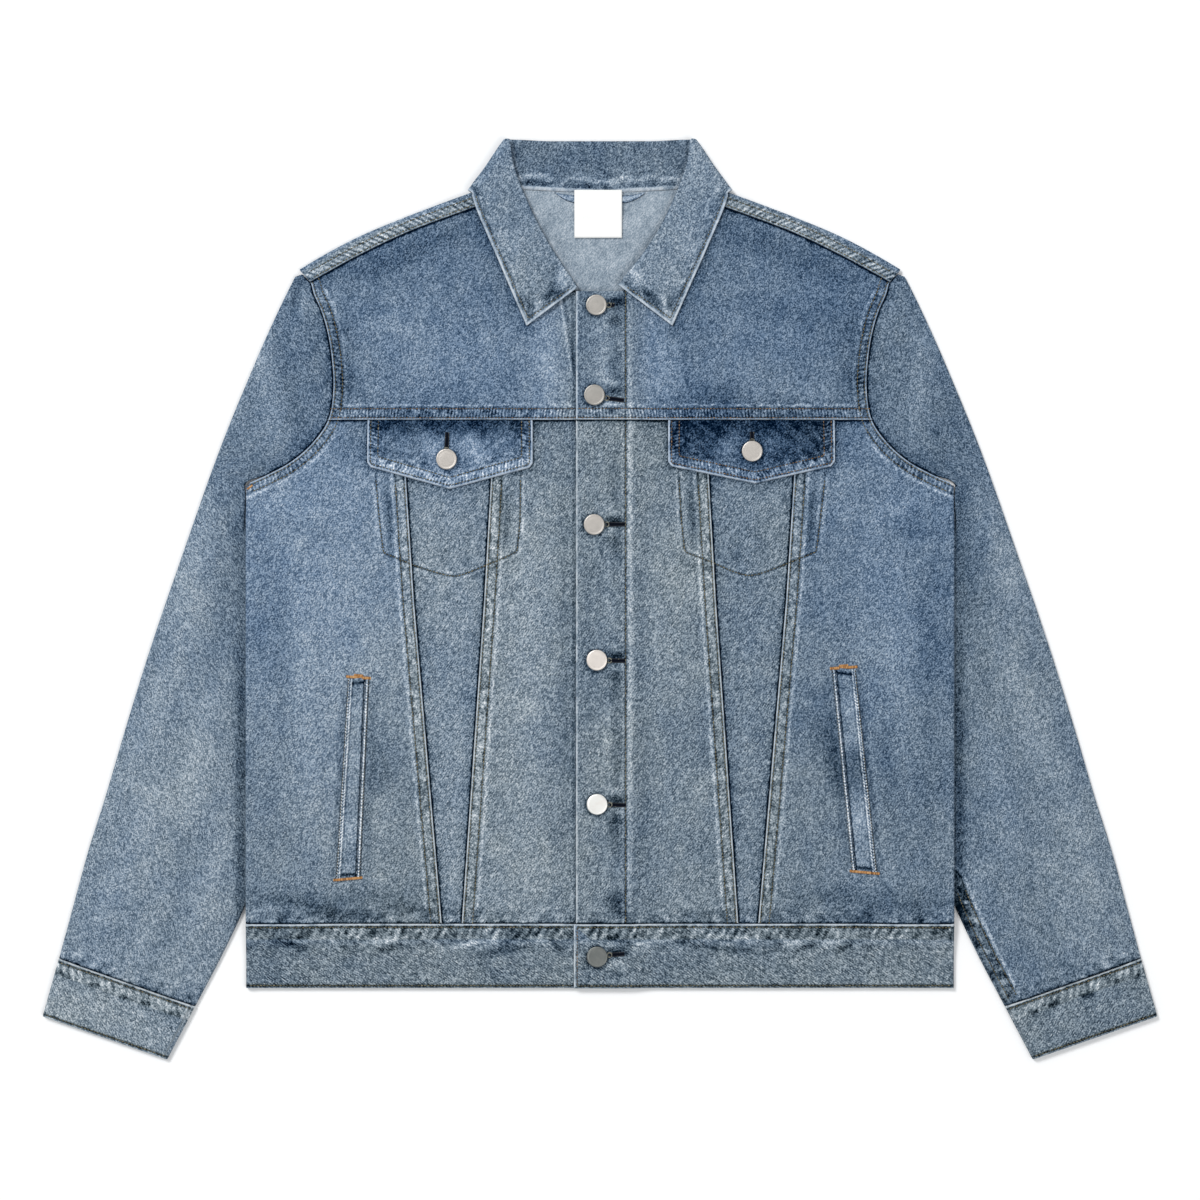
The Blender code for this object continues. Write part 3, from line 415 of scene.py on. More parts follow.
# %% The marks beside a seam, and the whole finish
def seam_bunches(finish, near, along, inside, share):
    """The cloth bunched up between the rows of stitches, and its pulls beyond them."""
    tick, ticks, ropes, pulls, lean = finish.attributes("tick ticks ropes pulls lean")
    beyond = (share - 1).at_least(0).decay(0.8) * share.rise(0.85, 1.15)
    slant = along + near * lean
    wander = finish.noise(along / (tick * 3), near / (tick * 3), 21.5) * 0.6
    beat = finish.noise(slant / (tick * 1.7), near / (tick * 4), 23.5, 1)
    mottle = finish.noise(slant / (tick * 1.3), near / (tick * 1.2), 29.5, 2)
    comb = finish.noise((along + near * 1.3) / (tick * 2.4), (near - along * 0.3) / (tick * 0.9), 31.5, 2)
    bunches = inside * ((slant / tick + wander).wave() * (beat + 0.8) * ticks + mottle * ropes)
    return bunches + beyond * comb * pulls


def denim():
    finish = Finish("denim", matte=True)
    ribs, streaks, specks, across, along_cloth = weave(finish)
    near, along, row, reach, sewn, rim, dim = finish.attributes("near along row reach sewn rim dim")
    washed, rib, grey, lip, worn, under, band = finish.attributes("tone rib grey lip worn under band")
    broad = finish.noise(across / 60, along_cloth / 90, 17.5, 3)
    clouds = finish.noise(across / 11, along_cloth / 16, 19.5, 1.5)
    tone = washed + broad * 0.09 + clouds * 0.07 + streaks * 0.06 + specks * 0.19 + ribs * rib

    # Beside a seam: bunches, a rubbed halo past the stitches and the dark seats of the stitches
    share = near / reach
    inside = share.rise(1.12, 0.88) * near.rise(0.3, 1.3)
    bunches = seam_bunches(finish, near, along, inside, share)
    halo = finish.noise(along / 4, near / 2.5, 47.5, 2) * 0.9 + 0.7
    halo = (near - band - 3).bell(0, 1.4) * rim * halo
    seats = ((near - band).bell(0, 0.9) + (near - 1.8).bell(0, 0.8)) * sewn
    broken = finish.noise(along_cloth / 2.2, across / 2.2, 51.5, 1) * 0.8 + 0.8
    row_dip = row.bell(0, 0.9) * broken
    row_rims = row.size().bell(2.3, 1.1) * (finish.noise(along_cloth / 5, across / 5, 53.5) + 0.5)
    tone = tone + bunches + halo - inside * dim - seats * 0.17 - row_dip * 0.26 + row_rims * 0.14

    # On an edge: white where it is worn; where it lies under the next piece, a painted shadow, and a wider
    # zone of indigo that stayed dark
    twist = finish.noise((along + near * 1.4) / 1.5, near / 4, 37.5, 1)
    patchy = (finish.noise(along / 13, 0, 39.5, 2) * 1.3 + 0.9).clamped()
    edge = (near - lip + twist * 0.9).rise(0.9, -0.6) * worn * patchy
    shade = (near + finish.noise(along / 4, 0, 41.5, 1) * 0.9).rise(2.1, 0.4)
    shade = shade * 1.1 + near.decay(4.5) * (0.3 + finish.noise(along / 8, near / 9, 43.5) * 0.6)
    tone = tone + (0.8 + twist * 0.16 - tone) * edge
    tone = (tone - shade * under * 0.42).clamped()

    waxed = inside * (sewn - 1).clamped()
    grey = (grey + broad * 0.4 + clouds * 0.2 + waxed).clamped()
    colour = finish.mix(grey, finish.ramp(tone, BLUE_WASH), finish.ramp(tone, GREY_WASH))
    height = specks * 0.12 + streaks * 0.2 + ribs * 0.2 + bunches * 0.8 - seats * 0.5 - row_dip * 0.6
    finish.bump(height, 0.00035)
    return finish.set(base_color=colour, roughness=0.92)


def inner_denim():
    """The wrong side: mostly white crossing yarns, with the blue showing as small dashes."""
    finish = Finish("inner_denim", matte=True)
    ribs, streaks, specks, across, along = weave(finish)
    clouds = finish.noise(across / 9, along / 14, 5.5, 3)
    tone = (0.63 + clouds * 0.14 + streaks * 0.08 + specks * 0.09 - ribs * 0.03).clamped()
    finish.bump(specks * 0.12 + ribs * 0.3, 0.0003)
    return finish.set(base_color=finish.ramp(tone, INNER_WASH), roughness=0.95)


DENIM = denim()
INNER_DENIM = inner_denim()
print("denim nodes:", len(DENIM.node_tree.nodes))


# %% [markdown]
# ## Thread, metal, label and floor
#
# Topstitching on old denim is a waxed golden thread that has faded to olive, and in places to rust.
# The bars that hold the pocket ends keep their orange. The buttons are brushed nickel. The label is
# plain white satin, left blank.

# %% The other finishes
def thread(name, dark, middle, pale):
    """Twisted thread: each stitch carries a shade of its own, and fine slanting plies."""
    finish = Finish(name)
    shade, = finish.attributes("shade")
    plies = finish.cloud(finish.place(), 1 / (0.45 * MM))
    finish.bump(plies, 0.0001)
    shade = (shade + (plies - 0.5) * 0.6).clamped()
    return finish.set(base_color=finish.ramp(shade, ((0, dark), (0.5, middle), (1, pale))), roughness=0.7)


def brushed_nickel():
    finish = Finish("nickel")
    x, y = (axis / MM for axis in finish.split(finish.place()))
    brush = finish.noise(x / 4, y / 0.25, 2, 2)
    cloud = finish.noise(x / 6, y / 6, 9, 2)
    # How bright a cap is painted: a painted reflection of the light that each cap catches
    polish, = finish.attributes("polish")
    stops = ((0, (120, 124, 122)), (0.4, (180, 176, 170)), (0.9, (247, 238, 230)), (1, (255, 254, 249)))
    colour = finish.ramp((polish + cloud * 0.08 + brush * 0.05).clamped(), stops)
    finish.bump(brush, 0.00003)
    return finish.set(base_color=colour, roughness=(0.42 + brush * 0.06).clamped(), metallic=0.85)


def satin():
    finish = Finish("label_satin")
    x, y = (axis / MM for axis in finish.split(finish.place()))
    yarn = finish.noise(x / 0.5, y / 3, 1, 1)
    finish.bump(yarn, 0.00006)
    colour = finish.ramp((0.5 + yarn * 0.5).clamped(), ((0, (243, 243, 241)), (1, (254, 254, 252))))
    return finish.set(base_color=colour, roughness=0.55)


def painted_slit_shadow():
    """Painted shadow for the gap that shows through a buttonhole: nearly black, with faint clouds."""
    finish = Finish("slit", matte=True)
    cloud = finish.cloud(finish.place(), 900)
    stops = ((0.3, (12.6, 16.2, 25.2)), (0.7, (14, 18, 28)))
    return finish.set(base_color=finish.ramp(cloud, stops), roughness=0.95)


OLIVE_THREAD = thread("olive_thread", (44, 42, 32), (86, 82, 60), (138, 128, 100))
RUST_THREAD = thread("rust_thread", (46, 40, 34), (96, 80, 60), (150, 120, 88))
ORANGE_THREAD = thread("orange_thread", (104, 66, 30), (178, 124, 66), (218, 174, 120))
HOLE_THREAD = thread("hole_thread", (12, 16, 24), (24, 32, 44), (150, 150, 136))
NICKEL = brushed_nickel()
SATIN = satin()
SLIT_SHADOW = painted_slit_shadow()

HALF_FLOOR = 4
BELOW_CLOTH = -0.0002
floor_data = bpy.data.meshes.new("floor")
corners = [(x * HALF_FLOOR, y * HALF_FLOOR, BELOW_CLOTH) for x, y in ((-1, -1), (1, -1), (1, 1), (-1, 1))]
floor_data.from_pydata(corners, [], [(0, 1, 2, 3)])
floor_data.materials.append(Finish("floor").set(base_color=(0.92, 0.92, 0.92, 1), roughness=0.9))
floor = bpy.data.objects.new("floor", floor_data)
bpy.context.scene.collection.objects.link(floor)


# %% [markdown]
# ## Curves and distances
#
# The tables hold few points, so a smooth curve is laid through them. Every mark on a seam needs to
# know how far a point is from the seam and how far along it: both come from one function that
# projects all points onto all pieces of the line at once.

# %% Curves
def joined(*coordinates):
    """Points from arrays or numbers for each of their coordinates."""
    return np.stack(np.broadcast_arrays(*coordinates), axis=-1)


def level(y, start, end):
    """A straight line across."""
    return np.array([(start, y), (end, y)])


def upright(x, start, end):
    """A straight line up."""
    return np.array([(x, start), (x, end)])


def unit(vector):
    """A vector over its length."""
    return vector / np.linalg.norm(vector)


def smooth(t):
    """Three squares less two cubes: from 0 to 1, level at both ends."""
    t = np.clip(t, 0, 1)
    return t * t * (3 - 2 * t)


def between(value, limits):
    """Rises softly from 0 to 1 while a value goes from the first limit to the second."""
    return smooth((value - limits[0]) / (limits[1] - limits[0]))


def window(value, start, full, fade, end):
    """Rises softly from 0 to 1 between the first two limits and falls back between the others."""
    return between(value, (start, full)) * between(value, (end, fade))


def bell(value, middle, width):
    """A soft bump round one value, from 0 up to 1 and back."""
    return np.exp(-(((value - middle) / width) ** 2))


def through(steps, values, at):
    """A smooth curve through values at rising steps: a cubic between each two, whose slopes at
    both ends are the mean slopes of the values beside them."""
    steps, values, at = (np.asarray(one, float) for one in (steps, values, at))
    slope = np.gradient(values, steps, axis=0)
    i = np.clip(np.searchsorted(steps, at) - 1, 0, len(steps) - 2)
    shape = at.shape + (1,) * (values.ndim - 1)
    width = (steps[i + 1] - steps[i]).reshape(shape)
    t = ((at - steps[i]) / (steps[i + 1] - steps[i])).reshape(shape)
    start = (2 * t**3 - 3 * t**2 + 1) * values[i] + (t**3 - 2 * t**2 + t) * width * slope[i]
    end = (3 * t**2 - 2 * t**3) * values[i + 1] + (t**3 - t**2) * width * slope[i + 1]
    return start + end


def lengths(line):
    """How far along a line each of its points lies."""
    steps = np.linalg.norm(np.diff(line, axis=0), axis=-1)
    return np.concatenate((np.zeros((1,) + steps.shape[1:]), np.cumsum(steps, axis=0)))


def at_lengths(line, at):
    """Points of a line from how far along it they lie."""
    return np.stack([np.interp(at, lengths(line), column) for column in line.T], axis=1)


def at_share(line, share):
    """Points of a line at shares of its length."""
    return at_lengths(line, share * lengths(line)[-1])


def evenly(line, pitch):
    """Points at even steps along a line, its ends among them."""
    length = lengths(line)[-1]
    return at_lengths(line, np.linspace(0, length, max(2, round(length / pitch) + 1)))


def curve(points, pitch=2):
    """A smooth curve through points, as points at even steps."""
    run = lengths(points)
    return evenly(through(run, points, np.linspace(0, run[-1], 12 * len(points))), pitch)


# %% Distances from a line
def beside(x, y, line):
    """For arrays of points: the distance to a line in plan, positive on its left, and how far
    along the line its nearest point is."""
    (first_x, first_y), (way_x, way_y) = line[:-1].T, np.diff(line, axis=0).T
    length = np.hypot(way_x, way_y)
    x, y = x[..., None] - first_x, y[..., None] - first_y
    t = np.clip((x * way_x + y * way_y) / length**2, 0, 1)
    away = np.hypot(x - t * way_x, y - t * way_y)
    nearest = np.argmin(away, axis=-1)[..., None]
    left = np.where(way_x * y - way_y * x < 0, -1, 1)
    found = (left * away, lengths(line)[:-1] + t * length)
    return [np.take_along_axis(values, nearest, axis=-1)[..., 0] for values in found]


def moved(line, distance):
    """A plan line moved to its left by a distance."""
    return line + distance * leftward(line)


def leftward(line):
    """The way to the left at each point of a plan line."""
    steps = np.gradient(line, axis=0)
    way = np.stack((-steps[:, 1], steps[:, 0]), axis=1)
    return way / np.linalg.norm(way, axis=1)[:, None]


def on_side(side, line):
    """A plan line of the left side, or its mirror image."""
    return np.asarray(line) * (side, 1)


def ripple(run, pitch, seed):
    """An uneven wave along a run, about -1 to 1: three sines whose lengths don't match."""
    return sum(size * np.sin(2 * np.pi * run / (stretch * pitch) + number * seed * 2.399)
               for number, size, stretch in ((1, 0.5, 1), (2, 0.3, 1.37), (3, 0.3, 0.61)))


# %% Columns and rows of a grid
BESIDE_SEAM = np.array([0, 0.4, 1, 1.9, 3.2, 4.8, 6.5, 8, 9.2, 10.4, 11.6, 13.4])
BESIDE_FOLD = np.array([0, 0.5, 1.4, 3])


def spread(start, end, near_start, near_end, pitch):
    """Values from start to end, one row for each pair: at set distances from both ends, and
    evenly in the middle."""
    start, end = np.atleast_1d(start).astype(float), np.atleast_1d(end).astype(float)
    room = (end - start)[:, None]
    fit = np.minimum(1, 0.46 * room / max(near_start[-1], near_end[-1]))
    first = start[:, None] + near_start * fit
    last = end[:, None] - near_end[::-1] * fit
    count = max(1, round(float((last[:, 0] - first[:, -1]).mean()) / pitch))
    t = np.linspace(0, 1, count + 1)[1:-1]
    middle = first[:, -1:] + (last[:, :1] - first[:, -1:]) * t
    return np.concatenate((first, middle, last), axis=1)


# %% [markdown]
# ## How high the cloth lies
#
# The body lies on the sleeves at its sides and on the collar behind the neck. The left placket lies
# on the right one. On top of that come the creases: soft ridges and troughs, each given by its two
# ends, its width and its height, like strokes of a broad brush.

# %% Heights of the layers
def lift(x, y):
    """Height of the back's outer face."""
    out = np.abs(x)
    over_sleeve = between(out, (210, 250)) * between(y, (-300, -252)) * between(y, (ARMPIT, 60))
    over_leaf = between(out, (150, 112)) * between(y, (285, 310))
    return SLEEVE_LIFT * over_sleeve + LEAF_LIFT * over_leaf


def front_height(side, x, y):
    """Height of a front's outer face, without seams and creases."""
    if side > 0:
        lap = LAP_LIFT * between(x, (LAP_FOOT, LAP_STITCH))
    else:
        lap = (BAND - CLOTH) * between(-x, (UNDER_STITCH + 1, UNDER_STITCH - 0.5))
    return lift(x, y) + LAYERS + lap


def rounded(near, radius):
    """How far a folded edge falls away: a quarter of a circle."""
    t = np.clip(near / radius, 0, 1)
    return radius * (np.sqrt(1 - (1 - t) ** 2) - 1)


def strokes(x, y, table):
    """Sum of soft strokes, each from one point to another, with a width and an amount: a bell
    across the stroke, times a curve that swells from 0 to 1 and back along it."""
    total = np.zeros(np.shape(x))
    for x0, y0, x1, y1, width, amount in table:
        length = math.hypot(x1 - x0, y1 - y0)
        along = ((x - x0) * (x1 - x0) + (y - y0) * (y1 - y0)) / length
        across = ((x - x0) * (y1 - y0) - (y - y0) * (x1 - x0)) / length
        swell = window(along, -0.25 * length, 0.3 * length, 0.7 * length, 1.25 * length)
        total += amount * bell(across, 0, width) * swell
    return total


# %% Creases of the body and of the sleeves
# From x, y to x, y, then width and height (ridges up, troughs down)
BODY_FOLDS = (
    (-268, -254, -140, -251, 4.5, 0.9), (-272, -244, -150, -241, 6, -0.7), (-246, -228, -214, -246, 4, 0.6),
    (-262, 66, -216, 46, 9, -0.8), (-272, 84, -226, 70, 7, 0.8), (-206, 120, -198, 60, 9, 0.6),
    (-246, -40, -234, -190, 13, 0.9), (-262, 20, -254, -130, 10, -0.7), (-180, -232, -172, -140, 10, 0.5),
    (-60, 40, -52, -120, 15, 0.7), (-42, -60, -38, -250, 8, -0.6), (-120, 84, -119, 34, 6, 0.7),
    (-107, 66, -110, 30, 4, -0.6), (-133, 60, -129, 28, 4, -0.6), (-190, 176, -150, 160, 5, 0.7),
    (-110, 180, -88, 160, 5, 0.7), (-200, 214, -140, 236, 16, 0.8), (-70, 236, -40, 178, 12, 0.7),
    (56, 214, 60, 164, 9, 0.7), (100, 204, 134, 166, 10, 0.8), (150, 176, 188, 162, 5, 0.7),
    (110, 240, 196, 222, 15, -0.8), (206, 116, 200, 56, 9, 0.7), (268, 86, 222, 66, 8, 0.9),
    (262, 62, 230, 44, 8, -0.7), (250, 10, 246, -150, 12, 0.9), (236, -70, 246, -230, 10, -0.7),
    (148, -252, 268, -255, 4.5, 0.9), (160, -242, 276, -243, 6, -0.6), (50, 60, 44, -90, 12, 0.6),
    (36, -30, 34, -240, 6, -0.6), (60, -252, 108, -254, 4, 0.7), (121, 84, 122, 34, 6, 0.7),
    (108, 62, 112, 30, 4, -0.6), (134, 64, 131, 30, 4, -0.6), (-90, -240, -60, -256, 5, 0.6))
SLEEVE_FOLDS = {
    "right": (
        (-248, 268, -251, 236, 3.5, -2), (-240, 258, -243, 232, 4, 1.2), (-282, 230, -262, 120, 10, 1.3),
        (-262, 222, -244, 130, 7, -0.9), (-320, 90, -352, -30, 14, 1.2), (-300, 62, -318, -60, 9, -0.9),
        (-330, -10, -388, -150, 12, 0.9), (-360, -150, -404, -262, 10, 0.9), (-312, -60, -340, -180, 10, 1),
        (-330, -190, -366, -296, 9, -0.9), (-346, -232, -384, -300, 6, 0.8),
        (-300, -180, -330, -260, 8, 0.9), (-306, 40, -340, 24, 7, 0.6), (-400, -230, -420, -280, 7, 0.7)),
    "left": (
        (247, 262, 228, 206, 2.6, 0.8), (272, 236, 256, 130, 9, 1.2), (290, 180, 278, 110, 8, -0.9),
        (316, 96, 346, -20, 14, 1.2), (300, 40, 322, -90, 10, -0.9), (326, -30, 372, -150, 13, 1),
        (380, -140, 412, -262, 10, 0.9), (318, -110, 344, -220, 9, 1), (344, -220, 376, -300, 8, -0.8),
        (366, -210, 402, -290, 9, 0.8), (298, -200, 322, -270, 6, 0.8), (310, 30, 346, 10, 7, 0.6))}
FOLD_TO_TONE = 0.05     # how much paler a ridge is rubbed, for each mm of its height


def body_folds(x, y):
    """Creases of the fronts, which run out towards the side's fold and under the flaps."""
    clear = between(SIDE - np.abs(x), (2, 14))
    return strokes(x, y, BODY_FOLDS) * clear


# %% [markdown]
# ## The wash
#
# No two parts of a washed jacket are the same blue. What lay open in the drum is pale, and what was
# folded under or lay beside a thick seam stayed dark. The wash is painted with the same strokes as
# the creases, in shares of the way from dark indigo to white. Some dark strokes are painted shadows
# instead, beside the welts' frames and the left placket's edge, and so are the rings round the
# buttons and the bands beside the flaps and below the collar's leaf.

# %% Strokes of the wash
# From x, y to x, y, then width and how much paler (darker below zero)
# Some dark strokes are painted shadows: beside the welts' frames and beside the left placket's edge
BODY_WASH_AND_SHADE = (
    (-205, 152, -52, 152, 9, -0.13), (50, 152, 205, 152, 10, -0.17), (-212, 165, -214, 235, 13, -0.1),
    (206, 160, 212, 240, 14, -0.1), (-205, 262, -110, 304, 9, -0.1), (205, 262, 112, 302, 9, -0.09),
    (-170, 200, -70, 200, 28, 0.06), (-45, 235, -38, 160, 15, 0.1), (44, 240, 42, 160, 16, 0.1),
    (100, 178, 100, 162, 20, -0.1), (90, 230, 180, 215, 18, 0.03), (-190, 136, -214, 118, 12, -0.07),
    (-276, 70, -272, -60, 16, -0.04), (-225, 40, -215, -240, 30, 0.04), (-268, -250, -130, -252, 8, -0.1),
    (-250, -255, -180, -258, 4, -0.12), (-60, 60, -60, -230, 22, 0.03), (60, 60, 60, -230, 24, 0.03),
    (-30, 130, -26, -240, 5, -0.07), (272, 60, 268, -230, 22, -0.05), (238, 90, 226, -240, 20, 0.02),
    (150, -250, 280, -250, 12, -0.08), (-120, 60, -120, 30, 12, -0.05), (123, 60, 123, 30, 12, -0.05),
    (-180, -120, -176, -160, 9, -0.08), (232, -100, 236, -180, 9, -0.07), (-174, 92, -171, 44, 3.5, -0.2),
    (-78, 92, -79, 44, 4, -0.2), (174, 92, 172, 44, 3.5, -0.18), (76, 92, 78, 44, 4, -0.18),
    (-184.5, 98, -180.5, 42, 1.6, 0.09), (-63, 98, -63, 42, 1.6, 0.09), (185.5, 98, 180.5, 42, 1.6, 0.08),
    (63, 98, 65, 42, 1.6, 0.08), (-176, 36, -130, 20, 4, -0.07), (-112, 20, -66, 34, 4, -0.07),
    (176, 36, 130, 20, 4, -0.07), (112, 20, 66, 34, 4, -0.07), (-290, -300, 290, -300, 10, -0.02),
    (25.2, 244, 25.2, -250, 1.8, 0.18), (13, 246, 14, 226, 6, -0.18), (12, 204, 13, 176, 6, -0.1),
    (12, 120, 12, 84, 6, -0.07), (13, 70, 14, 34, 6, -0.14), (13, -36, 13, -84, 6, -0.15),
    (14, -96, 14, -150, 5, -0.12), (12, -158, 13, -204, 6, -0.15), (12, -238, 14, -262, 7, -0.2),
    (3, 230, 4, 180, 4, 0.08), (6, 40, 7, -30, 4, 0.06), (5, -70, 6, -140, 4, 0.06),
    (5, -190, 6, -250, 4, 0.05), (-22.4, 250, -22.4, -260, 1.3, -0.28), (0, 250, 0, 150, 14, 0.07),
    (180, -100, 196, -154, 9, -0.13), (-185.5, -72, -192.5, -220, 3.5, -0.1),
    (-212, 165, -208, 190, 6, -0.12), (212, 165, 209, 190, 6, -0.1), (-285, -240, -200, -258, 4, -0.1),
    (-170, -254, -100, -257, 3.5, -0.1), (80, -254, 160, -257, 3.5, -0.1), (200, -256, 285, -250, 4, -0.1),
    (-208.6, -70, -218.4, -222, 1.3, -0.18), (186, -64, 202.5, -214, 3.5, -0.1),
    (211.6, -62, 228.9, -214, 1.3, -0.18))
# Beside each buttonhole: painted shade along the slit and further below it, and pale rubbed strokes just
# above and below it, where the cloth is pulled into small folds
HOLE_SHADE_AND_RUB = tuple(stroke for x, y in FRONT_BUTTONS for stroke in (
    (x + 9, y + 3, x + 25, y + 3.4, 3.2, -0.28), (x + 7, y + 13, x + 20, y + 9, 3, 0.13),
    (x + 8, y - 8, x + 22, y - 5, 2.6, 0.13), (x + 8, y - 12, x + 20, y - 15, 3, -0.12)))


def under_line(y):
    """Where the right placket's inner edge shows: it slants out from under the left one."""
    return 22.6 + 0.155 * np.clip(np.asarray(y, float) - 183, 0, 80)


def button_shadow_ring(x, y, middles):
    """A painted shadow ring round each button, most below it."""
    away = [np.hypot(x - middle_x + 0.7, y - middle_y + 1) for middle_x, middle_y in middles]
    return bell(np.min(away, axis=0), BUTTON_RADIUS, 1.6)


LEAF_EDGE = curve(COLLAR_FRONT[:, 4:6])


def body_tone(x, y, base):
    """The wash of a piece on the body: its own shade and strokes, painted shadow rings round the
    buttons, and painted shadows beside the flaps and below the collar's leaf."""
    tone = base + strokes(x, y, BODY_WASH_AND_SHADE + HOLE_SHADE_AND_RUB) + FOLD_TO_TONE * strokes(x, y, BODY_FOLDS)
    # Painted shadow rings round the buttons
    tone = tone - 0.24 * button_shadow_ring(x, y, FRONT_BUTTONS)
    for word, side in SIDES.items():
        from_flap, _ = beside(x, y, on_side(side, evenly(FLAP[word], 3)))
        from_leaf, _ = beside(x, y, on_side(side, LEAF_EDGE))
        # Painted shadows along the flaps' edges, and below the collar's leaf on the yokes
        tone = tone - 0.24 * np.exp(-np.abs(from_flap) / 2.6) * (y < YOKE_SEAM)
        tone = tone - 0.17 * np.exp(-np.abs(from_leaf) / 7) * (y > YOKE_SEAM) * (side * x > 0)
    # Along the right placket's edge where it shows through: a pale rubbed line, and a painted shadow beside
    # it
    beyond = x + under_line(y)
    return tone + 0.16 * bell(beyond, 0, 1.3) - 0.1 * bell(beyond, 2.6, 1.5) * (beyond > 0)


# %% [markdown]
# ## One piece of cloth
#
# A piece is a grid of points on its outer face. The attributes that the finish reads are worked out
# here for all points at once. Where a piece has more than one seam, each point takes the values of
# its nearest one. A Solidify modifier gives the shell the thickness of the cloth, and the inner face
# gets the finish of the wrong side.

# %% How each kind of seam marks the cloth
# band: distance of the outer stitches, or -9 where there are none, reach: width of the bunched cloth,
# tick: from bunch to bunch, ticks, ropes, pulls: how strong the even bunches, the uneven ones and the
# pulls beyond the band are, lean: how far the bunches slant, sewn: how dark the stitches' seats are,
# worn: how white the edge is, lip: how wide that white edge is, under: 1 where this piece lies below
# the seam and gets a painted shadow beside it, rim: how pale the cloth is rubbed just past the
# stitches, dim: how much darker the band is
KINDS = """
           band reach  tick ticks ropes pulls  lean  sewn  worn   lip under   rim   dim
plain        -9     5     3     0     0     0   0.3     0     0   1.2     0     0     0
felled      9.2    10   2.6  0.15  0.38  0.35  0.15     1   0.9   1.2     0   0.2 -0.05
shoulder    7.6   9.2     5   0.2  0.26     0  -0.9   0.4  0.35   0.8     0     0 -0.06
slanting      9    10   3.2  0.04  0.42     0   0.3   1.4     1   1.2     0  0.24 -0.06
armhole     7.4     9   3.4  0.13  0.34  0.25   0.3   1.1   0.8     1     0  0.22     0
below        -9     6     4     0  0.08     0   0.3     0     0   1.2     1     0     0
gathered     -9    10   5.6     0  0.44   0.3   0.6     0     0   1.2   0.7     0     0
sleeve        9    10   4.6     0  0.62     0   0.3   1.3   0.7   1.2     0   0.3  0.07
turned       -9     3     3     0   0.1     0   0.3     0     1   1.3     0     0     0
leaf        4.2     7   4.6     0  0.36  0.35     1   0.8     1   1.9     0     0     0
stand        -9    14     8     0   0.2   0.2   1.2     0     1   2.2     0     0     0
flap        9.3  10.5   2.8  0.14  0.55   0.5   0.3     1     1   1.6     0     0     0
girdle      2.9  12.5   7.4  0.13  0.42  0.42   0.5   1.5     1   1.5     0     0     0
cuffed      2.9  12.5   6.2  0.12  0.32   0.3   0.5   1.5     1   1.5     0     0 -0.01
hem         2.2     4   3.4     0   0.2     0   0.3   1.4  0.15   1.2     0     0     0
rope         -9   3.2   2.5  0.24   0.2     0     1     0     0   1.2     0     0     0
"""
MARKS, *KIND_ROWS = (line.split() for line in KINDS.strip().splitlines())
SEAM_KINDS = {kind: dict(zip(MARKS, map(float, row))) for kind, *row in KIND_ROWS}
FAR = 80                # no seam near
PIECES = {}
# How pale each piece is before its strokes: the right one, the left one
BASE_TONES = {
    "pocket_panel": (0.52, 0.475), "side_front": (0.515, 0.45), "centre_front": (0.51, 0.475),
    "yoke": (0.435, 0.42), "shoulder_strip": (0.49, 0.46), "sleeve": (0.505, 0.465),
    "cuff": (0.55, 0.475), "flap": (0.41, 0.215)}


def base_tone(piece, side):
    """The right or the left one of a pair."""
    return BASE_TONES[piece][side > 0]


# %% A mesh with values at its points
def new_piece(name, points, faces, materials, slot, **attributes):
    """A mesh from points in the pattern's millimetres, with a value at each point per attribute."""
    mesh = bpy.data.meshes.new(name)
    mesh.from_pydata(((np.asarray(points) + ORIGIN) * MM).tolist(), [], faces)
    for key, value in attributes.items():
        mesh.attributes.new(key, "FLOAT", "POINT").data.foreach_set("value", value.astype(np.float32))
    for material in materials:
        mesh.materials.append(material)
    mesh.shade_smooth()
    piece = bpy.data.objects.new(name, mesh)
    bpy.context.scene.collection.objects.link(piece)
    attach(piece, "root")
    return piece


def around(grid, axis=1):
    """How far along a row or a column of a grid each of its points lies."""
    return np.moveaxis(lengths(np.moveaxis(grid, axis, 0)), 0, axis)


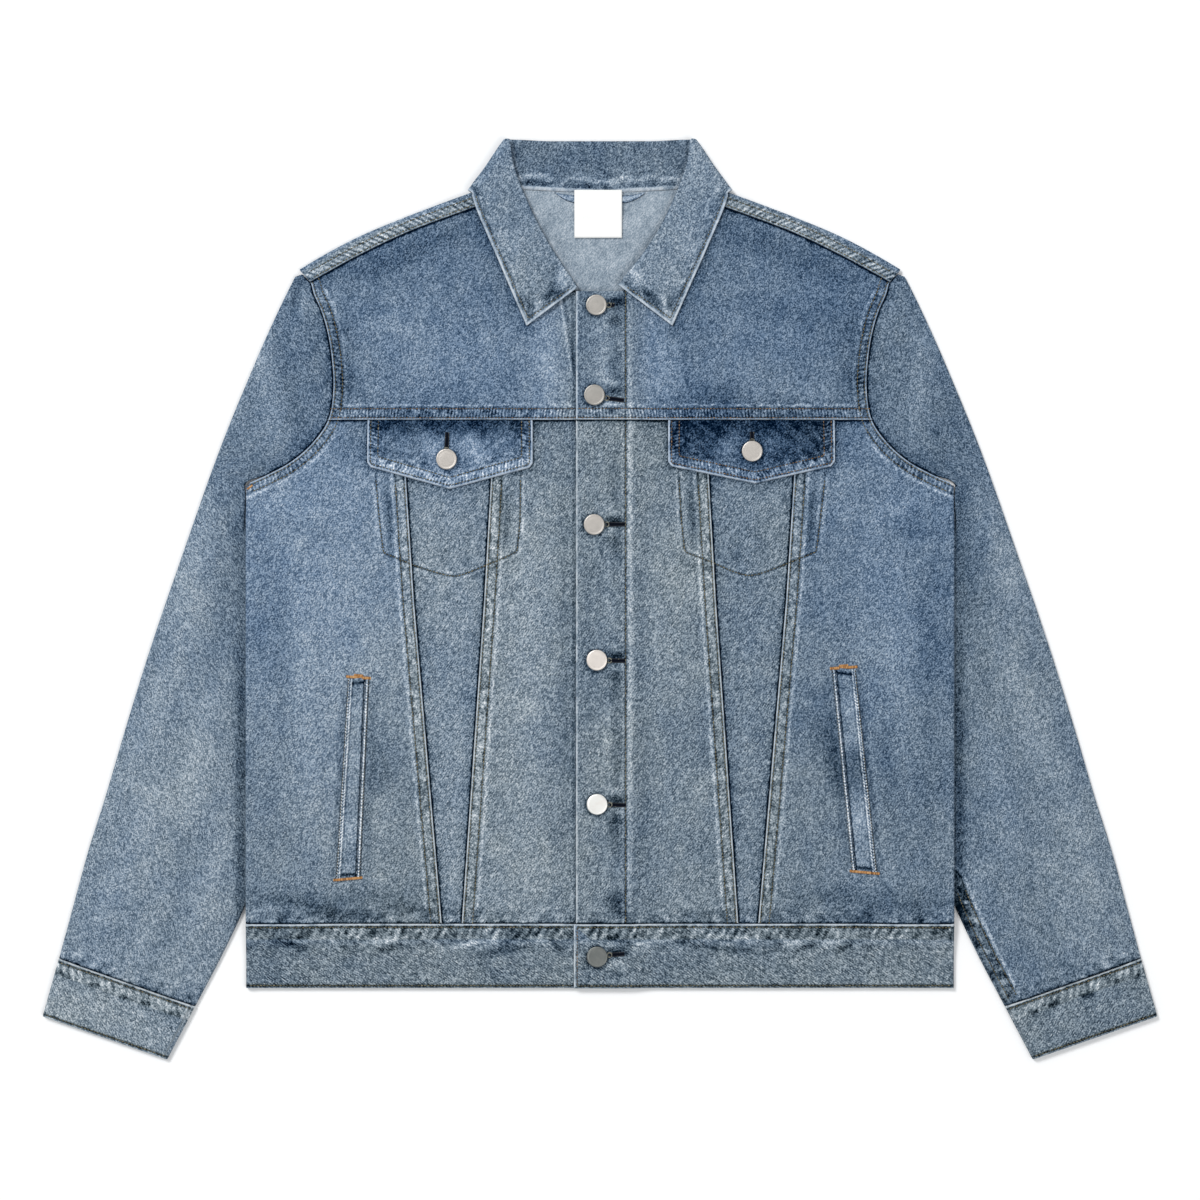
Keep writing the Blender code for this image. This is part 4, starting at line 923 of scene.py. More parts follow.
# %% Grids that make one piece
class Cloth:
    """One piece: its grids are welded where their points meet. Seams and grids are given for the left
    side, and a side of -1 mirrors them."""

    def __init__(self, node, grey=0.5, seams=(), rows=(), rib=0.05, side=1, stuff="denim"):
        self.node, self.name, self.grey, self.rib, self.side = node, f"{node}_{stuff}", grey, rib, side
        self.seams, self.rows = [(kind, on_side(side, line)) for kind, line in seams], rows
        self.points, self.faces, self.values, self.count = [], [], [], 0

    def marks(self, x, y):
        """near and along of the nearest seam, and what its kind says, for each point."""
        values = {key: np.full(x.shape, value) for key, value in SEAM_KINDS["plain"].items()}
        values.update(near=np.full(x.shape, FAR), along=np.zeros(x.shape))
        # Each seam starts its own stretch of the noise
        for number, (kind, line) in enumerate(self.seams):
            away, along = beside(x, y, line)
            closer = np.abs(away) < values["near"]
            found = dict(SEAM_KINDS[kind], near=np.abs(away), along=along + 1000 * number)
            values = {key: np.where(closer, found[key], values[key]) for key in values}
        return values

    def add(self, grid, tone, weave_at=None, **marks):
        """Adds a grid whose rows run down and whose columns run right, seen from outside. tone is
        the wash, weave_at the cloth's own coordinates, across and along its warp, and marks take the
        place of what the seams say."""
        x, y = grid[..., 0] * self.side, grid[..., 1]
        away = [beside(x, y, line)[0] for line in self.rows]
        row = np.full(x.shape, FAR)
        for one in away:
            row = np.where(np.abs(one) < np.abs(row), one, row)
        u, v = (x, y) if weave_at is None else weave_at
        shift = 37 * len(self.name) + 113 * len(PIECES)     # so that no two pieces share their noise
        values = dict(self.marks(x, y), row=row, tone=tone, grey=self.grey, rib=self.rib)
        values.update(marks, u=u + shift, v=v + 2 * shift, z=grid[..., 2], x=x, y=y)
        values = {key: np.broadcast_to(value, x.shape) for key, value in values.items()}
        if self.side < 0:
            values = {key: value[:, ::-1] for key, value in values.items()}
        values = {key: value.ravel() for key, value in values.items()}
        self.points.append(np.stack([values.pop(axis) for axis in "xyz"], axis=1))
        self.values.append(values)
        index = self.count + np.arange(x.size).reshape(x.shape)
        corners = (index[:-1, :-1], index[1:, :-1], index[1:, 1:], index[:-1, 1:])
        self.faces.append(np.stack(corners, axis=-1).reshape(-1, 4))
        self.count += x.size

    def wash(self, grid, base, weave_at=None, **marks):
        """Adds a grid that lies on the body, with the wash of its place."""
        self.add(grid, body_tone(grid[..., 0] * self.side, grid[..., 1], base), weave_at, **marks)

    def make(self, thickness, slot="body_denim", materials=(DENIM, INNER_DENIM), offset=-1):
        """The mesh object, in metres, with its wall, in place of the plain model's node."""
        points = np.vstack(self.points)
        _, kept, new = np.unique(points.round(3), axis=0, return_index=True, return_inverse=True)
        faces = new.ravel()[np.vstack(self.faces)]
        proper = (faces[:, 0] != faces[:, 2]) & (faces[:, 1] != faces[:, 3])
        faces = [tuple(dict.fromkeys(face)) for face in faces[proper].tolist()]
        faces = [face for face in faces if len(face) > 2]
        values = {key: np.concatenate([one[key] for one in self.values])[kept] for key in self.values[0]}
        u, v = values.pop("u"), values.pop("v")
        piece = new_piece(self.name, points[kept], faces, materials, slot, **values)
        corner = np.empty(len(piece.data.loops), np.int32)
        piece.data.loops.foreach_get("vertex_index", corner)
        uv = piece.data.uv_layers.new(name="weave")
        uv.data.foreach_set("uv", np.stack((u[corner], v[corner]), axis=1).ravel())
        wall = piece.modifiers.new("wall", "SOLIDIFY")
        wall.thickness = thickness * MM
        wall.offset = offset
        wall.material_offset = 1
        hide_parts(self.node)
        PIECES[self.node] = piece
        print(self.name, len(faces), "faces")


# %% [markdown]
# ## The fronts
#
# Each front is three panels with a slanting felled seam on both sides of the narrow one. The wider
# panels carry the seam: their edge is folded under and stitched down twice, which leaves a raised
# band. The narrow panel simply goes under it.

# %% Seam lines of the fronts
ARM_LINE = curve(ARMHOLE)
SHOULDER_SEAM = curve(SHOULDER[::-1, 2:])
YOKE_LINE = level(YOKE_SEAM, LAP_EDGE, ARMHOLE[4, 0] + 1)
WAIST_LINE = level(WAIST_SEAM, LAP_EDGE, SIDE)
OUTER_V, INNER_V = (evenly(PANEL_SEAMS[:, [column, 0]], 4) for column in (1, 2))
PANEL_Y = spread(WAIST_SEAM + GAP / 2, YOKE_SEAM - GAP / 2, BESIDE_SEAM, BESIDE_SEAM, 2.5)[0][::-1]
OUTER_X, INNER_X = (np.interp(PANEL_Y, PANEL_SEAMS[:, 0], PANEL_SEAMS[:, column]) for column in (1, 2))


def armhole_x(y):
    """How far out a front reaches at a height, half a gap short of the armhole."""
    return np.interp(y, ARM_LINE[:, 1], ARM_LINE[:, 0]) - GAP / 2


def felled(near, along, width, seed):
    """Height of a felled seam over the cloth: a flat band with a rounded edge, pressed in along
    both rows of stitches and bunched up between them."""
    band = RIDGE * between(near, (width + 1.5, width - 0.4)) + rounded(near, 0.9)
    rows = bell(near, 1.7, 0.8) + bell(near, width - 1, 0.8)
    bunch = window(near, 0.6, 2.4, width - 2, width + 0.5)
    return band - 0.28 * rows + 0.22 * bunch * ripple(along, 5.5, seed)


def felled_on(line, x, y, width, seed):
    """The same, beside a line in plan."""
    away, along = beside(x, y, line)
    return felled(np.abs(away), along, width, seed)


def under_flap(x, y):
    """1 where a chest flap covers the front, so that its seams and creases lie flat there."""
    return between(y, (92, 104)) * window(x, 46, 54, 194, 202)


# %% The narrow panel and the side panel
# A front's grid is laid out for the left side, and `there` is where its points lie on the jacket
def front_grid(word, side, x, extra=0):
    """Points of a panel from its x, and what its seams add to the height. The stitches of the
    pocket bag press a groove."""
    y = np.broadcast_to(PANEL_Y[:, None], x.shape)
    there = side * x
    groove = -0.35 * bell(beside(there, y, evenly(POCKET_BAG[word], 3))[0], 0, 1.3)
    folds = (body_folds(there, y) + groove) * (1 - under_flap(x, y))
    return joined(x, y, front_height(side, there, y) + extra + folds)


def pocket_panel(word, side):
    """The narrow panel: straight rows between its two slanting seams."""
    x = spread(INNER_X + GAP / 2, OUTER_X - GAP / 2, BESIDE_SEAM[:7], BESIDE_SEAM[:7], 2.2)
    seams = [("below", line) for line in (OUTER_V, INNER_V, YOKE_LINE)] + [("gathered", WAIST_LINE)]
    cloth = Cloth(f"pocket_panel_{word}", 0.6, seams, (POCKET_BAG[word],), 0.08, side)
    cloth.wash(front_grid(word, side, x), base_tone("pocket_panel", side))
    cloth.make(CLOTH, "faded_denim")


def side_front(word, side):
    """The side panel: rows from the outer seam to the side, then a half circle round the side and
    a short flat stretch to the back underneath."""
    radius = LAYERS / 2
    side_x = np.where(PANEL_Y > ARMPIT, np.minimum(armhole_x(PANEL_Y), SIDE - radius), SIDE - radius)
    x = spread(OUTER_X + GAP / 2, side_x, BESIDE_SEAM, BESIDE_SEAM, 2.6)
    y = np.broadcast_to(PANEL_Y[:, None], x.shape)
    arm = felled_on(ARM_LINE, x, y, ARM_FELL, 2) * between(y, (88, 97))
    extra = (felled_on(OUTER_V, x, y, FELL, side + 3) + arm) * (1 - under_flap(x, y))
    grid = front_grid(word, side, x, extra)

    edge_x, edge_y, edge_z = np.moveaxis(grid[PANEL_Y < ARMPIT, -1:], -1, 0)
    turns = np.radians(np.linspace(0, 180, 9))
    roll_z = lift(edge_x, edge_y) + radius + radius * np.cos(turns)
    roll_z[:, :1] = edge_z
    roll = joined(edge_x + radius * np.sin(turns), edge_y, roll_z)
    under = joined((286, SIDE_SEAM + GAP / 2), edge_y, lift(SIDE_SEAM, edge_y))

    seams = [("slanting", OUTER_V), ("armhole", ARM_LINE), ("below", YOKE_LINE), ("gathered", WAIST_LINE)]
    cloth = Cloth(f"side_front_{word}", seams=seams, rows=(POCKET_BAG[word],), side=side)
    for part in (grid, np.hstack((roll, under))):
        lower = between(part[..., 1], (60, -220))
        inward = between(np.abs(part[..., 0]), (235, 150))
        cloth.grey = 0.12 + (0.5 if side < 0 else 0.35) * lower + 0.22 * inward
        cloth.wash(part, base_tone("side_front", side) + (-0.035 if side < 0 else 0.01) * lower)
    cloth.make(CLOTH)


# %% The panel with the placket
def placket_shape(side, x, y, near_edge):
    """The placket: a rounded fold at its edge, a groove under its stitches, and beside them the
    edge of the under layer showing through."""
    fold = rounded(near_edge, 1.3)
    if side < 0:
        return 0.6 * bell(x, under_line(y), 1.2) + fold
    groove = -0.4 * bell(x, LAP_STITCH, 0.9)
    ghost = 0.45 * bell(x, LAP_STITCH + 3.6, 1.5)
    waves = 0.35 * ripple(y + 4, 30, 5) * bell(x, LAP_STITCH - 5, 5)
    return groove + ghost + waves + fold


def placket_x(side):
    """Columns of a placket, from its folded edge past its stitches."""
    edge, stitch = (UNDER_EDGE, UNDER_STITCH) if side < 0 else (LAP_EDGE, LAP_STITCH)
    first = edge + np.array([0, 0.25, 0.7, 1.3, 2.2, 3.6])
    middle = np.linspace(first[-1], stitch - 1.8, 16)[1:-1]
    if side < 0:
        middle = np.concatenate((np.linspace(first[-1], 18, 12)[1:], np.arange(18.9, stitch - 2.2, 0.9)))
    return np.concatenate((first, middle, stitch + np.array([-1.8, -0.9, 0, 0.9, 1.8, 2.8, 3.8, 5, 6.6])))


def centre_front(word, side):
    """The panel with the placket: the placket's upright columns, then rows to the inner seam."""
    start = placket_x(side)
    rest = spread(start[-1], INNER_X - GAP / 2, BESIDE_FOLD, BESIDE_SEAM, 2.6)[:, 1:]
    x = np.hstack((np.tile(start, (len(rest), 1)), rest))
    y = np.broadcast_to(PANEL_Y[:, None], x.shape)
    seam_height = felled_on(INNER_V, x, y, FELL, side + 5) * (1 - under_flap(x, y))
    grid = front_grid(word, side, x, seam_height + placket_shape(side, x, y, x - start[0]))
    seams = [("slanting", INNER_V), ("below", YOKE_LINE), ("gathered", WAIST_LINE),
             ("turned", upright(start[0], WAIST_SEAM, YOKE_SEAM))]
    rows = [POCKET_BAG[word]] + [upright(LAP_STITCH, WAIST_SEAM, YOKE_SEAM)] * (side > 0)
    cloth = Cloth(f"centre_front_{word}", 0.8, seams, rows, 0.08, side)
    cloth.wash(grid, base_tone("centre_front", side))
    cloth.make(CLOTH if side < 0 else BAND, "faded_denim")


for word, side in SIDES.items():
    pocket_panel(word, side)
    side_front(word, side)
    centre_front(word, side)


# %% [markdown]
# ## The yokes
#
# A yoke fills the space between the chest seam, the armhole, the shoulder and the neck, and none of
# its edges is parallel to another. Its points are a blend between its four edges: the mean of the
# two points across, plus the mean along, less the blend of the corners.

# %% Yokes
YOKE_DEPTH = 108


def blended(bottom, top, start, end, across, along):
    """A surface between four edges, each a row of points."""
    u, v = across[None, :, None], along[:, None, None]
    rows = (1 - v) * bottom[None] + v * top[None]
    columns = (1 - u) * start[:, None] + u * end[:, None]
    corners = (1 - v) * ((1 - u) * bottom[0] + u * bottom[-1]) + v * ((1 - u) * top[0] + u * top[-1])
    return rows + columns - corners


def arm_edge(low, high, share):
    """The armhole between two points beside it, at shares of the way up."""
    part = ARM_LINE[(ARM_LINE[:, 1] > low[1]) & (ARM_LINE[:, 1] < high[1])] - (GAP / 2, 0)
    return at_share(np.vstack((low, part, high)), share)


def yoke(word, side):
    """A blend between the chest seam, the placket's edge, the armhole, and the neckline with the
    shoulder seam. The felled seams and the placket add to its height."""
    start = placket_x(side)
    base_y = YOKE_SEAM + GAP / 2
    low_arm = ARM_LINE[ARM_LINE[:, 0] < 236][:12]
    end_x = np.interp(base_y, low_arm[:, 1], low_arm[:, 0]) - GAP / 2
    x = np.concatenate((start, spread(start[-1], end_x, BESIDE_FOLD, BESIDE_SEAM, 2.5)[0, 1:]))
    bottom = joined(x, base_y)
    shoulder_line = moved(SHOULDER_SEAM, -GAP / 2)
    top_line = np.vstack((curve(FRONT_NECK)[:-1], shoulder_line))
    top_line = top_line[top_line[:, 0] > start[-1]]
    step_up = between(start, (LAP_STITCH - 3, start[-1])) * (top_line[0, 1] - LAP_TOP)
    share = (x[len(start) - 1:] - start[-1]) / (end_x - start[-1])
    top = np.vstack((joined(start, LAP_TOP + step_up)[:-1], at_share(top_line, share)))
    along = spread(0, YOKE_DEPTH, BESIDE_SEAM, BESIDE_SEAM, 2.5)[0] / YOKE_DEPTH
    left_edge = bottom[0] + along[:, None] * (top[0] - bottom[0])
    across = (x - x[0]) / (x[-1] - x[0])
    plan = blended(bottom, top, left_edge, arm_edge(bottom[-1], top[-1], along), across, along)[::-1]
    x, y = plan[..., 0], plan[..., 1]

    rise = y - base_y
    over_flap = window(x, 48, 54, 194, 200)
    extra = felled(rise, x, FELL, side + 7) + 0.55 * over_flap * between(rise, (13, 9))
    extra = np.maximum(extra, felled_on(ARM_LINE, x, y, ARM_FELL, side + 8))
    extra = extra + placket_shape(side, x, y, x - start[0]) * between(rise, (0, 3))
    rub = 0.35 * ripple(x - 0.9 * y, 9, 4) * window(rise, 9, 12, 11, 34)
    height = front_height(side, side * x, y) + extra + body_folds(side * x, y) + rub * over_flap
    seams = [("felled", YOKE_LINE), ("armhole", ARM_LINE), ("below", shoulder_line),
             ("turned", upright(start[0], YOKE_SEAM, LAP_TOP)), ("below", curve(FRONT_NECK))]
    rows = [upright(LAP_STITCH, YOKE_SEAM, 262)] * (side > 0)
    cloth = Cloth(f"yoke_{word}", 0.12 + 0.4 * between(x, (44, 20)), seams, rows, 0.04, side)
    cloth.wash(joined(x, y, height), base_tone("yoke", side))
    cloth.make(CLOTH)


for word, side in SIDES.items():
    yoke(word, side)


# %% [markdown]
# ## The back
#
# The back lies face down. It is one plain panel that comes over the shoulders and is sewn to the
# yokes in front, so a strip of it shows along each shoulder, with its own felled seam.

# %% Back
BACK_PITCH = 4.5        # from point to point
STRIP_SHARES = np.array([0, 0.12, 0.25, 0.38, 0.5, 0.6, 0.7, 0.8, 0.88, 0.93, 0.97, 1])[:, None, None]


def two_sided(half):
    """A row from the middle out, completed on the other side."""
    return np.concatenate((half[..., :0:-1, :] * (-1, 1), half), axis=-2)


# %% The panel and the strips over the shoulders
def back_panel(cloth, shoulder_edge):
    """The panel that lies on the floor, below and above the chest seam."""
    reach = SIDE_SEAM - GAP / 2
    t = np.linspace(0, 1, round(reach / BACK_PITCH) + 1)
    neck_points = np.count_nonzero(t * reach < BACK_NECK[-1, 0])
    y = np.linspace(WAIST_SEAM + GAP / 2, YOKE_SEAM, 93)
    edge = np.where(y < ARMPIT, reach, np.minimum(armhole_x(y), reach))
    lower = two_sided(joined(edge[:, None] * t, y[:, None]))

    neck = at_share(curve(BACK_NECK) - (0, GAP / 2), np.linspace(0, 1, neck_points + 1))[:-1]
    shoulder = at_share(shoulder_edge, np.linspace(0, 1, len(t) - neck_points))
    base, top = lower[-1], two_sided(np.vstack((neck, shoulder)))
    rise = np.linspace(0, 1, 40)
    arm = arm_edge(base[-1], shoulder[-1], rise)
    across = (base[:, 0] - base[0, 0]) / (base[-1, 0] - base[0, 0])
    for plan in (lower, blended(base, top, arm * (-1, 1), arm, across, rise)):
        x, y = plan[..., 0], plan[..., 1]
        sag = 0.5 * strokes(-x, y, BODY_FOLDS) * between(np.abs(x), (240, 200)) * between(y, (260, 230))
        cloth.add(joined(x, y, lift(x, y) + np.maximum(sag, 0)), body_tone(-x, y, 0.48))


def shoulder_strip(cloth, side, start, way_out, seam):
    """The strip that rolls over the shoulder and comes down in front to its seam."""
    radius = LAYERS / 2
    turns = np.linspace(0, np.pi, 9)[:, None]
    roll = start + (radius * np.sin(turns))[..., None] * way_out
    strip = start * (1 - STRIP_SHARES) + moved(seam, GAP / 2) * STRIP_SHARES
    low_z = lift(start[:, 0], start[:, 1])
    ridge = felled_on(seam, strip[..., 0], strip[..., 1], FELL, side + 11)
    strip_z = lift(strip[..., 0], strip[..., 1]) + LAYERS + ridge * between(STRIP_SHARES[..., 0], (0, 0.2))
    roll_z = low_z + radius - radius * np.cos(turns)
    roll_z[-1] = strip_z[0] = low_z + LAYERS
    cloth.side = side
    for part, z in ((roll, roll_z), (strip, strip_z)):
        x, y = part[..., 0], part[..., 1]
        grey = 0.8 - 0.5 * between(np.abs(beside(x, y, seam)[0]), (8.5, 11))
        cloth.grey = grey[:, ::int(side)]       # the right strip takes them in the order of the left one
        cloth.wash(joined(x, y, z), base_tone("shoulder_strip", side), (y, side * x))


def back():
    """The panel, and a strip on each side that starts where the panel ends."""
    upper_edge = curve(SHOULDER[::-1, :2])
    way_out = leftward(upper_edge)
    start = upper_edge - LAYERS / 2 * way_out
    seam = at_share(SHOULDER_SEAM, np.linspace(0, 1, len(upper_edge)))
    seams = [("below", curve(np.vstack((BACK_NECK[:0:-1] * (-1, 1), BACK_NECK))))]
    seams += [("shoulder", on_side(side, seam)) for side in SIDES.values()]
    cloth = Cloth("back", 0.25, seams)
    back_panel(cloth, start)
    for side in SIDES.values():
        shoulder_strip(cloth, side, start, way_out, seam)
    cloth.make(CLOTH)


back()


# %% [markdown]
# ## Sleeves and cuffs
#
# A sleeve is a tube pressed flat, so its section is a long loop: over the top, round the outer fold,
# and back underneath. At the armhole the loop is open, and below the armpit its two ends meet in the
# inner fold. The loop is carried down the arm and its width follows the two edges.

# %% Sleeves
SLEEVE_PUFF = 2         # how far the top swells
PUFF_RISE = 24          # from its edges to the full swell
PUFF_CLEAR = 296        # no swell under the body, from the middle
SLEEVE_RINGS = 230
SLEEVE_SHARES = np.concatenate([np.linspace(0, 0.1, 5)[:-1], np.linspace(0.1, 0.9, 38),
                                np.linspace(0.9, 1, 5)[1:]])
CUFF_ALONG = unit(CUFF_SEAM[1] - CUFF_SEAM[0])
CUFF_UP = np.array((-CUFF_ALONG[1], CUFF_ALONG[0]))    # from the cuff towards the sleeve


def sleeve_edges():
    """Inner and outer edge of each ring, how far it is closed, and how far down the arm it lies."""
    arm = ARMHOLE.copy()
    arm[-1] = 0.65 * ARMHOLE[-1] + 0.35 * ARMHOLE[-2]
    inner = np.vstack((moved(arm, -GAP)[::-1], SLEEVE_BELOW[:-1, :2], CUFF_SEAM[0] + CUFF_UP * GAP))
    across = np.concatenate((SLEEVE_ACROSS, SLEEVE_BELOW[:, 2]))
    outer = joined(through(SLEEVE_OUTER[:, 1], SLEEVE_OUTER[:, 0], across), across)
    outer[-1] = CUFF_SEAM[1] + CUFF_UP * GAP
    closed = np.clip((np.arange(len(inner)) - len(ARMHOLE) + 1) * 0.5, 0, 1)
    step = np.linalg.norm(np.diff(0.5 * inner + 0.5 * outer, axis=0), axis=1)
    run = np.concatenate(((0,), np.cumsum(np.maximum(step, 1))))
    at = np.linspace(0, run[-1], SLEEVE_RINGS)
    return through(run, inner, at), through(run, outer, at), np.interp(at, run, closed), at


def tube(inner, outer):
    """The width of each ring of a tube, and a function that places points on the rings, from how
    far out they lie and how high."""
    length = np.linalg.norm(outer - inner, axis=1)[:, None]
    way = ((outer - inner) / length)[:, None]

    def ring(out, z):
        plan = inner[:, None] + out[..., None] * way
        return joined(plan[..., 0], plan[..., 1], z)

    return length, ring


def sleeve(word, side):
    """Rings down the arm: half a circle at the outer fold, flat underneath, and on top a swell
    with soft creases. Where the ring is closed the inner fold is half a circle too."""
    inner, outer, closed, run = sleeve_edges()
    closed = closed[:, None]
    length, ring = tube(inner, outer)
    radius = LAYERS / 2 - 0.05 * closed
    foot = np.minimum(radius, 0.3 * length)
    span = length - foot - radius
    top_at = foot + span * SLEEVE_SHARES
    x, y, _ = np.moveaxis(ring(top_at, 0), -1, 0)
    room = np.where(closed > 0.25, np.minimum(top_at, x - PUFF_CLEAR), top_at)
    puff = SLEEVE_PUFF * smooth((length - top_at) / PUFF_RISE)
    puff = puff + strokes(side * x, y, SLEEVE_FOLDS[word]) * smooth((length - top_at) / 12)
    turn = np.linspace(0, np.pi, 10)[1:-1]
    half = np.radians((0, 30, 60))
    start_at = closed * radius * (1 - np.cos(half)) + (1 - closed) * foot * np.array((0, 0.33, 0.67))
    start_z = closed * radius * (1 + np.sin(half)) + (1 - closed) * 2 * radius
    grid = np.concatenate([
        ring(start_at, start_z), joined(x, y, 2 * radius + puff * smooth(room / PUFF_RISE)),
        ring(length - radius + radius * np.sin(turn), radius + radius * np.cos(turn)),
        ring(foot + span * np.linspace(1, 0, 22), 0),
        ring(start_at[:, ::-1], (2 * radius - start_z)[:, ::-1])], axis=1)

    seams = [("below", ARM_LINE), ("gathered", CUFF_SEAM)]
    if side > 0:
        seams.append(("sleeve", inner[inner[:, 1] < -228][::-1] + (4, 0)))
    x, y = side * grid[..., 0], grid[..., 1]
    upper = between(y, (-60, 180))
    from_body = np.abs(x) - SIDE
    tone = base_tone("sleeve", side) - 0.06 * upper + FOLD_TO_TONE * strokes(x, y, SLEEVE_FOLDS[word])
    # Painted shadow of the body on the sleeve, beside the body's side edge
    tone = tone - 0.06 * between(from_body, (22, -4)) * between(y, (110, 60))
    tone = tone - (0.06 + 0.12 * between(y, (10, -90))) * bell(from_body, 4.5, 4.5) * (y < 90)
    cloth = Cloth(f"sleeve_{word}", 0.55 - 0.22 * upper, seams, side=side)
    cloth.add(grid, tone, (around(grid) - 0.5 * length, -run[:, None]))
    cloth.make(CLOTH)


# %% Cuffs
CUFF_HEIGHT = 5
CUFF_DEPTH = 49         # from the seam to the hem


def cuff(word, side):
    """A flattened ring, carried straight from the sleeve's seam to the hem, with ripples under
    the seam that fade towards the hem."""
    drop = spread(0, 1, BESIDE_SEAM[:8] / CUFF_DEPTH, BESIDE_SEAM[:4] / CUFF_DEPTH, 1.8 / CUFF_DEPTH)
    t = drop[0][:, None]
    drop = t * CUFF_DEPTH
    length, ring = tube(*(seam * (1 - t) + hem * t for seam, hem in zip(CUFF_SEAM, CUFF_HEM)))
    radius = CUFF_HEIGHT / 2
    top_at = radius + (length - 2 * radius) * np.linspace(0, 1, 66)
    turn = np.linspace(0, np.pi, 8)[1:-1]
    waves = ripple(top_at - 0.8 * drop, 11, side + 2) * window(drop, 1, 5, 12, 24)
    top = ring(top_at, CUFF_HEIGHT + 0.45 * waves - 0.3 * bell(drop, BAND_ROW, 0.9) + rounded(drop, 1.2))
    far = ring(length - radius + radius * np.sin(turn), radius + radius * np.cos(turn))
    near = ring(radius - radius * np.sin(turn), radius - radius * np.cos(turn))
    grid = np.concatenate((top, far, ring(top_at[:, ::-2], 0), near, top[:, :1]), axis=1)

    run = around(grid)
    # A painted crease shadow along the cuff, broken into dashes
    crease_shade = bell(drop, 11.6 + 1.6 * ripple(run, 37, side + 3), 1.9)
    spots = between(ripple(run, 24, side + 6), (-0.2, 0.4)) * crease_shade
    tone = base_tone("cuff", side) + 0.05 * bell(drop, 6, 3) - 0.3 * spots
    cloth = Cloth(f"cuff_{word}", 0.85, [("cuffed", CUFF_SEAM), ("hem", CUFF_HEM)], rib=0.09, side=side)
    cloth.add(grid, tone, (-drop, run))
    cloth.make(BAND, "band_denim")


for word, side in SIDES.items():
    sleeve(word, side)
    cuff(word, side)


# %% [markdown]
# ## The waistband
#
# One long strip, folded double, cut along the warp and not across it, which is why its ribs slant
# the other way. It pulls the fronts together a little, so it bunches under its seam in long slanting
# ripples that fade towards the hem.

# %% Waistband
# Pulls under its seam: from x, y to x, y, then width and how much paler
WAIST_WASH = (
    (-126, -285, -72, -276, 1.8, 0.2), (-96, -290, -52, -283, 1.6, -0.2), (-58, -283, -24, -270, 1.8, 0.2),
    (-84, -279, -50, -273, 1.8, -0.14), (-268, -276, -240, -287, 3, -0.22),
    (-232, -274, -212, -283, 2.4, 0.16), (-218, -278, -204, -290, 2.4, -0.18),
    (-196, -282, -160, -276, 2.2, 0.16), (-188, -288, -150, -283, 2, -0.18),
    (-148, -278, -134, -286, 2.2, -0.14), (-40, -276, -30, -292, 2, -0.16), (2, -276, 26, -281, 3, -0.26),
    (30, -274, 44, -278, 2.4, -0.16), (28, -283, 62, -278, 2, 0.14), (66, -278, 80, -284, 3, -0.2),
    (84, -275, 124, -277, 2, 0.16), (82, -284, 128, -288, 2.2, -0.2), (130, -274, 148, -279, 2.4, -0.16),
    (150, -284, 172, -276, 1.8, 0.18), (158, -289, 186, -278, 2, -0.22), (176, -284, 200, -275, 1.8, 0.16),
    (196, -289, 210, -277, 2.4, -0.2), (216, -280, 250, -276, 2, 0.1), (214, -285, 240, -288, 2, -0.1))
BAND_PITCH = 1.9        # from point to point
WAIST_FOLDS = (
    (-250, -292, -150, -280, 7, 1), (-120, -300, -40, -284, 6, 1), (60, -284, 150, -298, 7, 1),
    (180, -280, 260, -294, 6, 1))


